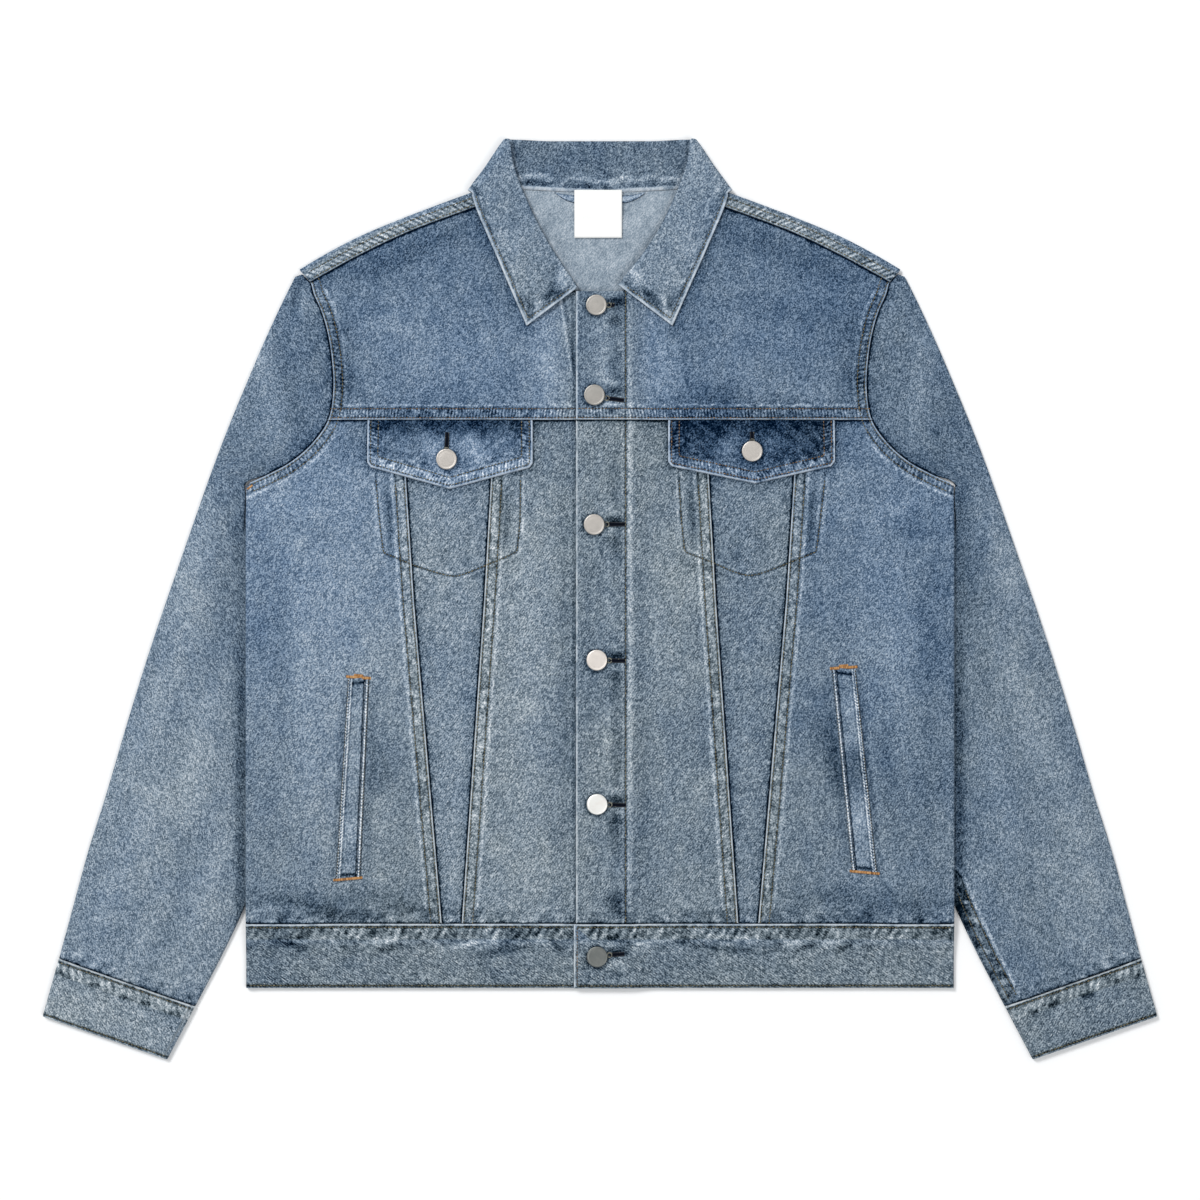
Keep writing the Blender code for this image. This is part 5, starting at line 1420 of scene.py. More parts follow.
def waistband():
    """One row round the whole hem, from the left end over the front, round both sides and under
    itself, with half a circle at each side. The rows lie one below the other."""
    y = spread(HEM, WAIST_SEAM - GAP / 2, BESIDE_SEAM[:4], BESIDE_SEAM, BAND_PITCH)[0, ::-1, None]
    radius = (LAYERS + BAND - CLOTH) / 2
    edge = SIDE - radius
    over = BAND_END + np.concatenate(([0, 0.3, 0.8, 1.6], np.arange(3.2, edge - BAND_END, BAND_PITCH)))
    over = np.append(over, edge)
    below = np.arange(edge, 0, -4.5)
    under = np.append(np.arange(edge, UNDER_EDGE, -BAND_PITCH), UNDER_EDGE)
    turn = np.linspace(0, np.pi, 9)[1:-1]
    fold_x, fold_z = radius * np.sin(turn), radius * np.cos(turn)
    x = np.concatenate((over, edge + fold_x, below, -below[::-1], -edge - fold_x[::-1], -under))
    lap = (BAND + GAP) * between(over, (LAP_FOOT, LAP_STITCH))
    top = np.concatenate((2 * radius + lap, radius + fold_z, np.zeros(2 * len(below)), radius - fold_z,
                          np.full(len(under), 2 * radius)))
    shows = top > radius * 1.2
    x, y = np.broadcast_arrays(x, y)
    drop = (WAIST_SEAM - GAP / 2) - y
    waves = ripple(x + 2.1 * drop, 23, 9) * window(drop, 2, 8, 14, 36)
    spots = between(ripple(x + 0.9 * drop, 13.5, 4), (0, 0.5)) * bell(drop, 8.5, 3.6)
    pulls = strokes(x, y, WAIST_WASH)
    shape = 0.5 * waves + 2 * pulls + 0.6 * strokes(x, y, WAIST_FOLDS) - 0.3 * bell(drop, BAND_ROW, 0.9)
    shape = shape + rounded(drop, 1.2) + rounded(y - HEM, 1.2)
    z = lift(np.clip(x, -edge, edge), y) + top + shows * shape * between(SIDE - np.abs(x), (1, 10))
    z[:, :len(over)] += rounded(over - BAND_END, 1.2)
    seams = [("girdle", level(WAIST_SEAM - GAP / 2, -SIDE, SIDE)), ("hem", level(HEM, -SIDE, SIDE))]
    cloth = Cloth("waistband", 0.85 - 0.35 * between(drop, (22, 7)), seams, rib=0.11)
    marks = cloth.marks(x, y)
    from_end = np.abs(x - BAND_END)
    is_end = (np.arange(x.shape[1]) < len(over) // 2) & (from_end < marks["near"])
    turned = dict(SEAM_KINDS["turned"], near=from_end, along=y)
    marks = {key: np.where(is_end, turned[key], marks[key]) for key in marks}
    # Painted shadow rings round the buttons
    rings = 0.24 * button_shadow_ring(x, y, FRONT_BUTTONS)
    tone = 0.455 + strokes(x, y, HOLE_SHADE_AND_RUB[-4:]) - rings + pulls + 0.05 * waves - 0.12 * spots
    grid = joined(x, y, z)
    cloth.add(grid, tone, (-y, around(grid)), **marks)
    cloth.make(BAND, "band_denim")


waistband()


# %% [markdown]
# ## The collar
#
# A folded collar is a stand that goes up from the neck and a leaf that falls back over it. Laid flat,
# the front lies face up and the back lies face down, so the fold turns over beside the neck on each
# side. One section, from the neck seam up the stand, round the roll and down the leaf, is carried
# along the neck from the left end to the right.

# %% Collar
# Painted shade and highlights of the leaf's puckers at its front end, from x, y to x, y, then width and how
# much paler
COLLAR_PUCKER_SHADING = (
    (34, 254, 49, 242, 4.2, -0.3), (50, 249, 54, 237, 3.4, 0.24), (57, 247, 59, 236, 2.6, -0.14),
    (22, 274, 34, 262, 3.6, 0.16), (14, 266, 26, 258, 3.2, -0.16), (54, 236, 60, 230, 3, 0.18),
    (-34, 262, -44, 244, 4.2, -0.26), (-28, 272, -36, 256, 3.4, 0.22), (-50, 248, -53, 235, 3.4, 0.2),
    (-57, 246, -60, 234, 3, -0.14))
STAND_POINTS, ROLL_POINTS, LEAF_POINTS = 14, 9, 38
LEAF_START = STAND_POINTS + ROLL_POINTS
STAND_FINISH = STAND_POINTS + 6     # the stand's finish goes on over most of the roll
COLLAR_FOLDS = (
    (-24, 262, -42, 244, 4, 0.7), (-34, 274, -50, 256, 3, -0.5), (20, 266, 34, 248, 4, 0.7),
    (34, 258, 50, 240, 3.5, 0.8), (-66, 300, -80, 270, 8, 0.7), (70, 306, 78, 268, 8, 0.6))


def collar_section(seam, roll, edge, out, side=0):
    """The middle of the cloth in one section. out is the way from the stand to the leaf, and a
    side means that the leaf lies on a front."""
    up = unit(roll - seam)
    out = unit(out - up * np.dot(out, up))
    centre = roll - (COLLAR_ROLL + COLLAR_CLOTH / 2) * up + COLLAR_ROLL * out
    stand_end, leaf_start = centre - COLLAR_ROLL * out, centre + COLLAR_ROLL * out
    stand = seam + np.linspace(0, 1, STAND_POINTS)[:, None] * (stand_end - seam)
    turn = np.radians(np.linspace(0, 180, ROLL_POINTS + 2))[1:-1, None]
    arc = centre + COLLAR_ROLL * (np.sin(turn) * up - np.cos(turn) * out)
    leaf = leaf_start + (1 - np.linspace(1, 0, LEAF_POINTS)[:, None] ** 1.15) * (edge - leaf_start)
    if side:
        clear = front_height(side, leaf[:, 0], leaf[:, 1]) + LEAF_CLEAR
        leaf[:, 2] = np.maximum(leaf[:, 2], clear + RIDGE * between(leaf[:, 1], (296, 310)))
        leaf[:, 2] += 0.8 * np.sin(np.pi * np.linspace(0, 1, LEAF_POINTS)) ** 0.8
    return np.vstack((stand, arc, leaf))


def collar_stations(side):
    """Sections of one side, from its front end to where the fold has turned over."""
    sections = []
    for seam_x, seam_y, roll_x, roll_y, edge_x, edge_y, roll_shift, edge_shift in COLLAR_FRONT:
        cloth = BAND if seam_x < LAP_STITCH else CLOTH
        seam_z = front_height(side, side * seam_x, seam_y) - cloth / 2
        inward = unit(np.array((roll_x - seam_x, roll_y - seam_y))) * GAP
        seam = np.array((side * (seam_x + inward[0]), seam_y + inward[1], seam_z))
        roll = np.array((side * roll_x - roll_shift, roll_y, max(seam_z + 0.4, 5.9)))
        edge_z = front_height(side, side * edge_x, edge_y) + LEAF_CLEAR
        edge = np.array((side * edge_x - edge_shift, edge_y, edge_z))
        sections.append(collar_section(seam, roll, edge, np.array((0, 0, 1)), side))
    for angle in np.radians(TURN_ANGLES):
        points, ways = [], []
        for x, y, plan_angle, height, radius in COLLAR_TURN:
            plan = math.radians(plan_angle)
            flat = np.array((side * math.cos(plan), math.sin(plan), 0))
            ways.append(flat * math.sin(angle) + np.array((0, 0, math.cos(angle))))
            points.append(np.array((side * x, y, height)) + radius * ways[-1])
        sections.append(collar_section(*points, ways[1]))
    return sections


# %% The collar from end to end
def collar_middle():
    """The middle of the collar's cloth: rows along the neck, columns from the seam to the edge."""
    other = COLLAR_BACK[-2::-1] * (-1, 1, -1, 1, -1, 1)
    backs = [collar_section(np.array((seam_x, seam_y + GAP / 2, 2.6)), np.array((roll_x, roll_y, 3.5)),
                            np.array((edge_x, edge_y, COLLAR_CLOTH / 2)), np.array((0, 0, -1)))
             for seam_x, seam_y, roll_x, roll_y, edge_x, edge_y in np.vstack((COLLAR_BACK, other))]
    stations = np.array(collar_stations(1) + backs + collar_stations(-1)[::-1])
    run = lengths(stations).mean(axis=1)
    fine = through(run, stations, spread(0, run[-1], BESIDE_SEAM, BESIDE_SEAM, 2)[0])
    y = fine[..., 1]
    top = y.max(axis=1)
    top_x = np.abs(fine[np.arange(len(fine)), y.argmax(axis=1), 0])
    straight = 375.8 + 1.4 * between(top_x, (40, 74)) - top
    y += (straight * between(top, (368, 373.5)))[:, None] * between(y, (352, 373))
    fine[..., 2] = np.maximum(fine[..., 2], COLLAR_CLOTH / 2 + 0.3)
    return fine


def collar():
    """The collar's middle, moved along its own normal by bumps, pressed rows and creases."""
    fine = collar_middle()
    section = around(fine)
    from_edge = section[:, -1:] - section
    from_start = lengths(fine)
    from_ends = np.minimum(from_start, from_start[-1] - from_start)
    stand = np.arange(fine.shape[1]) < STAND_FINISH
    leaf = ~stand
    near = np.where(stand, np.maximum(section - 0.8, 0), np.minimum(from_edge, from_ends))
    along = np.where(stand | (from_edge < from_ends), lengths(fine[:, -1])[:, None], section + 700)
    marks = {key: np.where(stand, SEAM_KINDS["stand"][key], SEAM_KINDS["leaf"][key]) for key in MARKS}
    normal = np.cross(np.gradient(fine, axis=1), np.gradient(fine, axis=0))
    normal /= np.linalg.norm(normal, axis=2)[..., None]
    from_middle = np.abs(np.arange(len(fine)) - len(fine) // 2)[:, None]
    front = from_middle > len(fine) // 2 * 0.35

    x, y = fine[..., 0], fine[..., 1]
    bumps = 0.35 * ripple(along, 12, 3) * window(near, 2, 5, 8, 16)
    press = -0.3 * bell(near, LEAF_ROW, 0.9) * leaf
    tip = strokes(x, y, COLLAR_FOLDS)
    crest = bell(section, 10 + 3.4 * ripple(x, 34, 2), 1.7) * stand
    shape = (bumps + press) * front + tip * front * leaf * between(near, (1, 5)) + 0.7 * crest * ~front
    fine = fine + normal * shape[..., None]
    x, y = fine[..., 0], fine[..., 1]
    tone = np.where(stand, 0.45, np.where(x < 0, 0.495, 0.515)) + 0.1 * tip
    tone = tone - 0.1 * between(y, (262, 238)) * leaf * between(near, (2, 9))
    tone = tone + 0.03 * between(y, (330, 360)) * leaf + strokes(x, y, COLLAR_PUCKER_SHADING) * leaf * front
    dips = between(ripple(x, 13, 5), (-0.1, 0.5)) * bell(section, 5, 2.2)
    marks.update(near=near, along=along, tone=tone + stand * (0.26 * crest - 0.2 * dips - 0.03))
    marks = {key: np.broadcast_to(value, x.shape)[:, ::-1] for key, value in marks.items()}
    cloth = Cloth("collar", 0.5)
    cloth.add(fine[:, ::-1], **marks)
    cloth.make(COLLAR_CLOTH, "collar_denim", offset=0)
    return fine


COLLAR_POINTS = collar()


# %% [markdown]
# ## Flaps and welts
#
# The chest flaps are double and hang from the yoke's seam, so their upper edge dives under it. They
# kept more of their indigo than the rest, because they were washed folded. A hand pocket is a narrow
# strip in a frame of two raised folds, and the pocket opens along one side of the strip.

# %% Chest flaps
FLAP_TOP = LAYERS + GAP + 1.7


def flap_plan(outline):
    """Columns across the flap, rows from its upper edge to its lower one."""
    x = spread(outline[0, 0], outline[-1, 0], BESIDE_SEAM, BESIDE_SEAM, 1.8)[0]
    bottom = np.interp(x, outline[1:-1, 0], outline[1:-1, 1])
    t = np.linspace(0, 1, 34)[:, None]
    share = t + 0.06 * np.sin(np.pi * t) * (1 - t)
    return np.broadcast_arrays(x, outline[0, 1] + share * (bottom - outline[0, 1]))


def flap(word, side):
    """A sheet between a straight upper edge and a pointed lower one, which swells away from its
    stitches and its button and dives under the yoke."""
    x, y = flap_plan(FLAP[word])
    outline = evenly(FLAP[word], 3)
    away, along = beside(x, y, outline)
    near, below_top = np.abs(away), outline[0, 1] - y
    button_x, button_y = np.abs(FLAP_BUTTONS[word])
    seat = np.hypot(x - button_x, y - button_y)
    rows = bell(near, 3, 0.8) + bell(near, 9.3, 0.8)
    bunch = window(near, 0.6, 2.4, 9, 12) * ripple(along, 5.5, side + 4)
    swell = 0.5 * between(near, (8, 16)) * between(seat, (7, 24))
    waves = ripple(x + 0.5 * y, 23, side + 3) * between(near, (9, 16)) * between(seat, (8, 18))
    height = FLAP_TOP + rounded(near, 1.2) - 0.9 * between(below_top, (9, 0))
    height = height - 0.3 * rows + 0.22 * bunch + swell + 0.35 * waves

    inside = between(near, (8, 14))
    shadow = 0.28 if side < 0 else 0.14
    tone = base_tone("flap", side) - shadow * between(below_top, (18, 1))
    tone = tone + inside * (0.07 * ripple(x - 0.6 * y, 31, 6) + 0.06 * ripple(x + 1.3 * y, 17, side + 8))
    tone = tone - 0.1 * between(np.abs(x - 0.5 * (x[0, 0] + x[0, -1])), (44, 60)) * inside
    tone = tone + 0.12 * between(np.hypot((x - 116) / 1.8, y - 120), (26, 6))
    tone = tone + 0.19 * between(near, (13, 9)) * between(y, (128, 112))
    # Painted shadow ring round the button
    tone = tone - 0.2 * bell(np.hypot(x - button_x - 0.7 * side, y - button_y + 1), BUTTON_RADIUS, 1.6)
    cloth = Cloth(f"flap_{word}", 0.05, [("flap", outline)], side=side)
    cloth.add(joined(x, y, height), tone)
    cloth.make(CLOTH, "dark_denim")


# %% Hand pocket welts
INNER_ROPE, OUTER_ROPES = 1.7, (1.1, 3.2)    # the folds of the frame, from the edges
WELT_WASH = ((206, -120, 212, -154, 9, -0.2), (196, -70, 198, -84, 6, -0.08))


def welt(word, side):
    """A welt, and the lines of stitches along both of its long edges."""
    (upper, inner_up, outer_up), (lower, inner_low, outer_low) = WELT[word]
    t, across = np.linspace(0, 1, 120)[:, None], np.linspace(0, 1, 44)
    start = inner_up + t * (inner_low - inner_up)
    width = outer_up + t * (outer_low - outer_up) - start
    x = start + across * width
    y = upper + t * (lower - upper) - WELT_TILT * (x - start)
    from_inner, from_outer = across * width, (1 - across) * width
    length = abs(lower - upper)
    run = t * length
    from_end, edge = np.minimum(run, length - run), np.minimum(from_inner, from_outer)

    outer_ropes = sum(bell(from_outer, place, 0.7) for place in OUTER_ROPES)
    folds = bell(from_inner, INNER_ROPE, 0.9) + 0.9 * outer_ropes
    folds = folds - 1.2 * bell(from_inner, 3.5, 0.7) - 0.3 * bell(from_outer, 4.5, 0.5)
    shape = (folds + 0.5 * between(edge, (3.8, 5.5))) * between(from_end, (0, 4))
    wobble = 0.12 * ripple(run, 6, side + 1) * window(edge, 0.5, 2, 4, 5)
    base = front_height(side, side * x, y) + body_folds(side * x, y)
    height = base + 1 - 0.55 * between(edge, (1.6, 0)) + shape + wobble
    height = height - 0.8 * between(from_end, (3, 5)) * bell(from_end, 4, 1.5) * between(edge, (4, 5))

    # The folds of the frame are rubbed pale; painted shade lies in the grooves beside them, along the
    # strip's edges and across both of its ends
    ropes = bell(from_inner, INNER_ROPE, 0.95) + outer_ropes
    groove_shade = 0.62 * bell(from_inner, 3.6, 0.8) + 0.16 * bell(from_outer, 4.6, 0.6)
    tone = 0.54 + 0.07 * ripple(run, 51, 2) + strokes(side * x, y, WELT_WASH) + 0.3 * ropes - groove_shade
    tone = tone - 0.3 * bell(from_outer, 2.15, 0.35) - 0.35 * between(edge, (0.9, 0))
    tone = tone - 0.5 * bell(from_end, 4, 1.2) * between(edge, (3, 4.2))
    from_rope = np.minimum(np.abs(from_inner - INNER_ROPE), np.abs(from_outer - 2.1))
    cloth = Cloth(f"welt_{word}", 0.6 if side < 0 else 0.35, side=side)
    tone = np.clip(tone, 0, 1) - (0.03 if side > 0 else 0)
    cloth.add(joined(x, y, height), tone, **dict(SEAM_KINDS["rope"], near=1.4 + from_rope, along=run))
    cloth.make(CLOTH)
    return [joined(x[:, column], y[:, column]) for column in (2, -3)]


for word, side in SIDES.items():
    flap(word, side)
WELT_LINES = {word: welt(word, side) for word, side in SIDES.items()}


# %% [markdown]
# ## Label and hanger loop
#
# Both are caught in the neck seam. The loop is a narrow doubled strip of the same denim. The label is
# satin and stays blank.

# %% Label and loop
def inside_back(y):
    """Height of the back's inner face, with a gap."""
    return lift(0, y) + CLOTH + GAP


def neck_label():
    """A square that lies on the back and rises towards the collar."""
    x, y = np.meshgrid(np.linspace(-21, 18, 27), np.linspace(336, 297, 27))
    z = inside_back(np.minimum(y, 333.7)) + 1.1 + 1.3 * between(y, (308, 320))
    cloth = Cloth("neck_label", stuff="satin")
    cloth.add(joined(x, y, z + 0.12 * np.sin(x / 9) * between(y, (334, 300))), 0.5)
    cloth.make(0.6, "label_satin", (SATIN, SATIN))


LOOP_HALF, LOOP_WIDTH = 37, 7


def hanger_loop():
    """A strip whose middle sags from its two ends by a curve of the fourth power."""
    x, offset = np.meshgrid(np.linspace(-LOOP_HALF, LOOP_HALF, 75), np.linspace(0, LOOP_WIDTH, 9))
    y = 334.6 - (3 + offset) * (1 - 0.96 * (x / LOOP_HALF) ** 4)
    z = inside_back(y) + 1 + rounded(np.minimum(offset, LOOP_WIDTH - offset), 0.9) + 0.1 * ripple(x, 7, 1)
    # Painted shade along its lower edge and in the gap under the neck seam
    tone = 0.62 - 0.3 * between(offset, (4.5, LOOP_WIDTH)) - 0.3 * bell(offset, 0, 1.2)
    cloth = Cloth("hanger_loop", 0.25)
    cloth.add(joined(x, y, z), tone, (y, x))
    cloth.make(1)


neck_label()
hanger_loop()


# %% [markdown]
# ## Stitches
#
# A row of topstitching is a row of short bars of thread, each sunk a little at both ends where the
# needle went through. There are more than three thousand, so one bar of twenty faces is copied along
# all rows by array arithmetic. Each bar finds its height by a ray cast down on its own piece.

# %% One stitch, copied along a line
STITCH_PITCH = 2.7
STITCH_LENGTH = 2.15
STITCH_WIDTH = 0.95
ABOVE_ALL = 60


def bar(length, width, sides=5):
    """A bar along x: rings at three places between two poles, as points and faces."""
    turn = 2 * np.pi * np.arange(sides) / sides
    y, z = 0.5 * width * np.cos(turn), 0.32 * width * np.sin(turn)
    rings = [joined(share * length, size * y, size * z + sink)
             for share, size, sink in ((-0.36, 0.8, -0.06), (0, 1, 0.06), (0.36, 0.8, -0.06))]
    points = np.vstack(((-0.5 * length, 0, -0.18), *rings, (0.5 * length, 0, -0.18)))
    pairs = [(k, (k + 1) % sides) for k in range(sides)]
    faces = [(0, 1 + after, 1 + k) for k, after in pairs]
    for low in (1, 1 + sides):
        faces += [(low + k, low + after, low + sides + after, low + sides + k) for k, after in pairs]
    last = 1 + 2 * sides
    return points, faces + [(last + k, last + after, last + sides) for k, after in pairs]


@cache
def tree_of(node):
    """A search tree of a piece's outer face, in the pattern's millimetres."""
    mesh = PIECES[node].data
    points = np.array([vertex.co for vertex in mesh.vertices]) / MM - ORIGIN
    return BVHTree.FromPolygons(points.tolist(), [tuple(face.vertices) for face in mesh.polygons])


def heights(points, nodes):
    """Height of the highest of the named pieces under each plan point, or NaN beside them."""
    found = np.full(len(points), np.nan)
    for node in nodes.split():
        hits = [tree_of(node).ray_cast((x, y, ABOVE_ALL), (0, 0, -1))[0] for x, y in points]
        face = COLLAR_CLOTH / 2 if node == "collar" else 0
        found = np.fmax(found, [np.nan if hit is None else hit.z + face for hit in hits])
    return found


# %% Rows of stitches
class Sewing:
    """All bars of one thread, in one mesh."""

    def __init__(self, name, finish, seed):
        self.name, self.finish, self.random = name, finish, np.random.default_rng(seed)
        self.points, self.faces, self.shades, self.count = [], [], [], 0

    def bars(self, places, ways, length, width, shade):
        """Bars at places, each along its own way in plan."""
        template, faces = bar(length, width)
        ways = ways / np.linalg.norm(ways, axis=1)[:, None]
        sideways = joined(-ways[:, 1], ways[:, 0], 0)
        frames = np.stack((ways, sideways, np.cross(ways, sideways)), axis=1)
        self.points.append((places[:, None] + template @ frames).reshape(-1, 3))
        first = self.count + len(template) * np.arange(len(places))[:, None]
        for face in faces:
            self.faces.extend((first + face).tolist())
        shades = np.clip(shade + 0.22 * self.random.standard_normal(len(places)), 0, 1)
        self.shades.append(np.repeat(shades, len(template)))
        self.count += len(places) * len(template)

    def row(self, line, nodes, side=1, pitch=STITCH_PITCH, shade=0.5):
        """A row of stitches on a plan line of the left side, or its mirror image, that lies on the
        named pieces."""
        places = evenly(on_side(side, line), pitch)
        middles = (places[1:] + places[:-1]) / 2
        start, end, height = (heights(part, nodes) for part in (places[:-1], places[1:], middles))
        lean = np.clip(np.nan_to_num(end - start), -0.6, 0.6)
        ways = np.column_stack((np.diff(places, axis=0), lean))
        ways[:, :2] += 0.05 * pitch * self.random.standard_normal((len(ways), 2))
        kept = ~np.isnan(height)
        spots = np.column_stack((middles, height + 0.12))
        if kept.any():
            self.bars(spots[kept], ways[kept], STITCH_LENGTH * pitch / STITCH_PITCH, STITCH_WIDTH, shade)

    def make(self, slot):
        points, shade = np.vstack(self.points), np.concatenate(self.shades)
        new_piece(self.name, points, self.faces, (self.finish,), slot, shade=shade)
        print(self.name, len(self.faces), "faces")


# %% Rows along the seams of the body
olive = Sewing("topstitching_olive", OLIVE_THREAD, 11)
rust = Sewing("topstitching_rust", RUST_THREAD, 12)
for word, side in SIDES.items():
    centre, flank, top = f"centre_front_{word}", f"side_front_{word}", f"yoke_{word}"
    for line, node, inward in ((OUTER_V, flank, -1), (INNER_V, centre, 1)):
        for distance in FELL_ROWS:
            olive.row(moved(line[line[:, 1] < 96], inward * distance), node, side)
    for distance in (1.7, 9.2):
        rust.row(level(YOKE_SEAM + distance, placket_x(side)[0] + 1.5, 221.5), top, side, shade=0.4)
    for distance in ARM_ROWS:
        olive.row(moved(ARM_LINE[2:-6], distance), f"{top} {flank}", side)
        olive.row(moved(SHOULDER_SEAM, distance)[3:-2], "back", side)
    if side > 0:
        olive.row(upright(LAP_STITCH, WAIST_SEAM + 1, YOKE_SEAM - 1), centre)
        olive.row(upright(LAP_STITCH, YOKE_SEAM + 11, 254), top)
    bag = evenly(POCKET_BAG[word], 2)
    olive.row(bag[bag[:, 1] < 100], f"{centre} {flank} pocket_panel_{word}")
print("stitches on the body:", sum(map(len, olive.shades)) // len(bar(1, 1)[0]))

# %% Rows along flaps, welts, bands and collar
# How the corners of a flap's rows move in with their distance from its edge
FLAP_INSET = np.array([(1, 0), (1, 0.95), (0, 1.03), (-1, 0.95), (-1, 0)])
for word, side in SIDES.items():
    for distance in FLAP_ROWS:
        corners = joined(FLAP[word][[0, 1, 3, 5, 6], 0], FLAP[word][[0, 2, 3, 4, 6], 1])
        (rust if side > 0 else olive).row(corners + distance * FLAP_INSET, f"flap_{word}", side)
    for line in WELT_LINES[word]:
        olive.row(line, f"welt_{word}", side, 2.4, 0.2)
    for line, distance in ((CUFF_SEAM, -BAND_ROW), (CUFF_HEM, HEM_ROW)):
        olive.row(line + CUFF_UP * distance + np.outer((2.5, -2.5), CUFF_ALONG), f"cuff_{word}", side)
for height in (WAIST_SEAM - 3, HEM + HEM_ROW):
    olive.row(level(height, -SIDE + 3, BAND_END - 2), "waistband")
    olive.row(level(height, BAND_END + 2.4, SIDE - 3), "waistband")
rust.row(upright(BAND_END + 2.8, WAIST_SEAM - 3, HEM + 2.4), "waistband")
inner = sleeve_edges()[0]
for distance in (2, 9):
    olive.row(moved(inner[inner[:, 1] < -240][:-2] + (4, 0), distance), "sleeve_left")
from_seam = lengths(COLLAR_POINTS[0])
inset = np.abs(from_seam[-1] - from_seam - LEAF_ROW).argmin()
end = np.abs(lengths(COLLAR_POINTS[:, inset]) - LEAF_ROW).argmin()
turn = np.argmax(COLLAR_POINTS[:, inset, 1] > 331)
for part in (np.s_[end:turn, inset, :2], np.s_[end, LEAF_START + 3:inset + 1, :2]):
    for half in (COLLAR_POINTS, COLLAR_POINTS[::-1]):
        olive.row(half[part], "collar")
olive.make("collar_denim")
rust.make("body_denim")


# %% [markdown]
# ## Bars and buttonholes
#
# The ends of a pocket are held by a bar: thread wound tightly over a few long stitches. A buttonhole
# is bound the same way, with thread all round a slit that ends in an eye beside the button.

# %% Bars
bars = Sewing("pocket_bars", ORANGE_THREAD, 13)


def bar_tack(start, end, nodes, width, side=1):
    """Turns of thread side by side, wound across a line."""
    line = evenly(on_side(side, (start, end)), 0.62)
    height = heights(line, nodes)
    height = np.where(np.isnan(height), np.nanmedian(height), height)
    way = unit(line[-1] - line[0])
    across = np.tile((-way[1], way[0], 0), (len(line), 1))
    bars.bars(np.column_stack((line, height + 0.4)), across, width, 0.75, 0.55)


for word, side in SIDES.items():
    (upper, inner_up, outer_up), (lower, inner_low, outer_low) = WELT[word]
    nodes = f"welt_{word} side_front_{word}"
    middle = 0.5 * (inner_up + outer_up)
    bar_tack((inner_up - 0.8, upper - 1.2), (outer_up + 1, upper + 0.2), nodes, 2.7, side)
    bar_tack((middle - 3.5, upper + 1), (middle + 3.5, upper + 1.6), nodes, 2, side)
    bar_tack((inner_low - 1.2, lower + 0.4), (outer_low + 1.4, lower - 1.6), nodes, 2.5, side)
bar_tack((-289, 91), (-285, 94), "side_front_right", 1.8)
bars.make("body_denim")

# %% Buttonholes
holes = Sewing("buttonhole_thread", HOLE_THREAD, 14)


def buttonhole(eye, end, nodes):
    """Binds a slit from its round eye to its end, and gives the slit's corners."""
    eye, end = np.array(eye), np.array(end)
    way = unit(end - eye)
    side_way = np.array((-way[1], way[0]))
    run = np.arange(0, np.linalg.norm(end - eye), 0.7)
    top = np.nanmax(heights([eye + way * 3, (eye + end) / 2, end - way], nodes))
    for sign in (-1, 1):
        places = eye + np.outer(run, way) + sign * 1.25 * side_way
        holes.bars(joined(*places.T, top + 0.15), np.tile((*side_way, 0), (len(run), 1)), 1.5, 0.8, 0.2)
    turn = np.linspace(0, 2 * np.pi, 15)[:-1]
    ring = joined(np.cos(turn), np.sin(turn), 0)
    holes.bars((*eye, top + 0.3) + 1.9 * ring, ring, 1.4, 0.8, 0.85)
    wide, narrow = 1.25 * side_way, 0.85 * side_way
    return [(*corner, top + 0.42) for corner in (eye + wide, end + narrow, end - narrow, eye - wide)]


HOLE_ENDS = ((12, 0), (19.6, -4.4), (20.4, 0.2), (20.4, -0.6), (21.2, -0.8), (20, 2.2))
slits = [buttonhole((x + 10.2, y + drop * 0.6), (end, y + drop), "centre_front_left yoke_left waistband")
         for (x, y), (end, drop) in zip(FRONT_BUTTONS, HOLE_ENDS)]
FLAP_HOLES = {"left": ((124.6, 130), (124.6, 138)), "right": ((-125.7, 123), (-125.1, 137.5))}
slits += [buttonhole(*ends, f"flap_{word}") for word, ends in FLAP_HOLES.items()]
holes.make("body_denim")
slit_faces = [(4 * k + 3, 4 * k + 2, 4 * k + 1, 4 * k) for k in range(len(slits))]
new_piece("buttonhole_slits", np.vstack(slits), slit_faces, (SLIT_SHADOW,), "dark_denim")


# %% [markdown]
# ## Buttons
#
# A jacket button is a thin metal cap pressed over a tack: nearly flat, with a rolled edge. The cap is
# a profile turned round its axis.

# %% Buttons
BUTTON_PROFILE = np.array([
    (0, 2.15), (3, 2.13), (5.5, 2.08), (6.7, 2.02), (7.3, 2.1), (7.8, 2.2), (8.25, 2.05),
    (BUTTON_RADIUS, 1.6), (8.4, 1.1), (7.9, 0.7), (7, 0.5), (4, 0.3), (2.5, 0.2), (2.5, 0), (0, 0)])
# How bright each cap is painted, a painted reflection of the light that each one catches: from 0 to 1,
# neck to waistband, then the flaps'
PAINTED_GLINTS = (0.42, 0.38, 0.53, 0.83, 1, 0.02)
FLAP_GLINTS = {"left": 0.58, "right": 0.57}


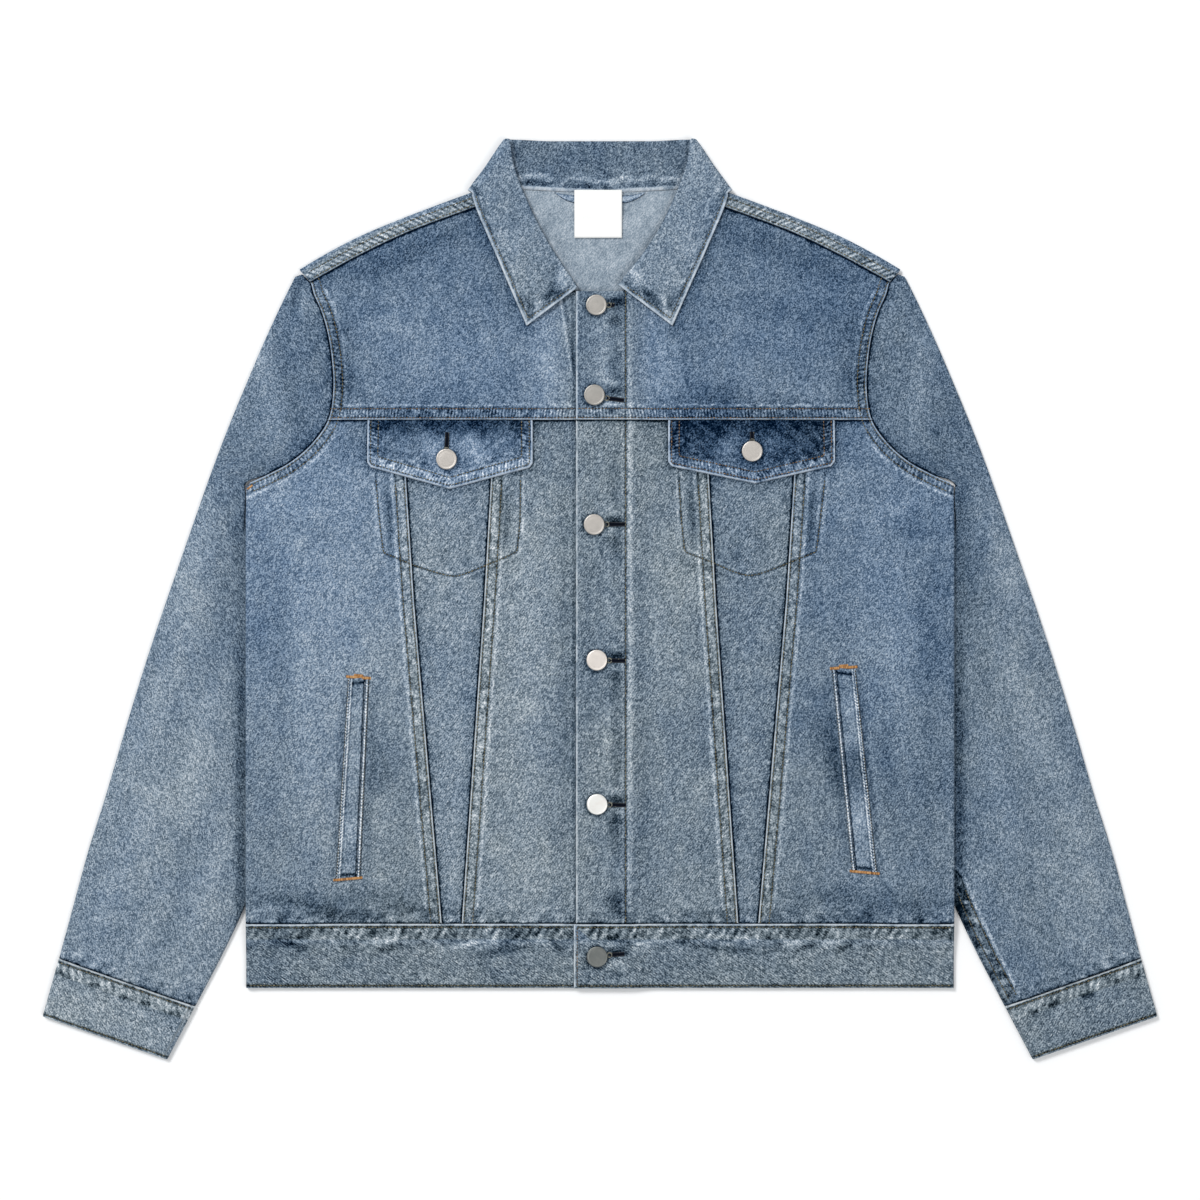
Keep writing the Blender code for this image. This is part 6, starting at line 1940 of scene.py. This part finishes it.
def button(node, middle, seat, polish, sides=48):
    """A cap, from its profile of radius and height, turned round a vertical axis."""
    profile = curve(BUTTON_PROFILE, 0.45)
    turn = 2 * np.pi * np.arange(sides) / sides
    radius, height = profile[1:-1, :1], seat + profile[1:-1, 1:]
    rings = joined(middle[0] + radius * np.cos(turn), middle[1] + radius * np.sin(turn), height)
    points = np.vstack((rings.reshape(-1, 3), *((*middle, seat + profile[end, 1]) for end in (0, -1))))
    last = len(rings) * sides
    index = np.arange(last).reshape(-1, sides)
    after = np.roll(index, -1, axis=1)
    quads = np.stack((index[:-1], index[1:], after[1:], after[:-1]), axis=-1).reshape(-1, 4).tolist()
    caps = joined(index[0], after[0], last).tolist() + joined(after[-1], index[-1], last + 1).tolist()
    polish = np.full(len(points), polish)
    cap = new_piece(f"{node}_cap", points, quads + caps, (NICKEL,), "button_metal", polish=polish)
    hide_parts(node)


for number, (middle, polish) in enumerate(zip(FRONT_BUTTONS, PAINTED_GLINTS), 1):
    button(f"button_{number}", middle, BUTTON_SEAT, polish)
for word, middle in FLAP_BUTTONS.items():
    button(f"flap_button_{word}", middle, FLAP_TOP + GAP, FLAP_GLINTS[word])


# %% [markdown]
# ## What each piece was cut from
#
# Every piece of cloth has the size of the rectangle that it is cut from, which is printed with its
# own area, measured on the shell that was just made.

# %% Sheets that the pieces are cut from
CUTS = {
    "back": (0.6, 0.66), "yoke_right": (0.26, 0.19), "yoke_left": (0.27, 0.19), "side_front": (0.17, 0.42),
    "pocket_panel": (0.08, 0.42), "centre_front_right": (0.12, 0.42), "centre_front_left": (0.14, 0.42),
    "sleeve": (0.42, 0.62), "cuff": (0.24, 0.052), "waistband": (1.2, 0.056), "collar": (0.5, 0.12),
    "flap": (0.137, 0.06), "welt": (0.03, 0.17), "neck_label": (0.039, 0.039),
    "hanger_loop": (0.072, 0.012)}
for node, piece in PIECES.items():
    width, length = CUTS.get(node) or CUTS[node.rsplit("_", 1)[0]]
    area = sum(face.area for face in piece.data.polygons)
    print(node, "cut", (width, length), "area", round(area, 4), "share", round(area / width / length, 2))
    min(area, width * length)
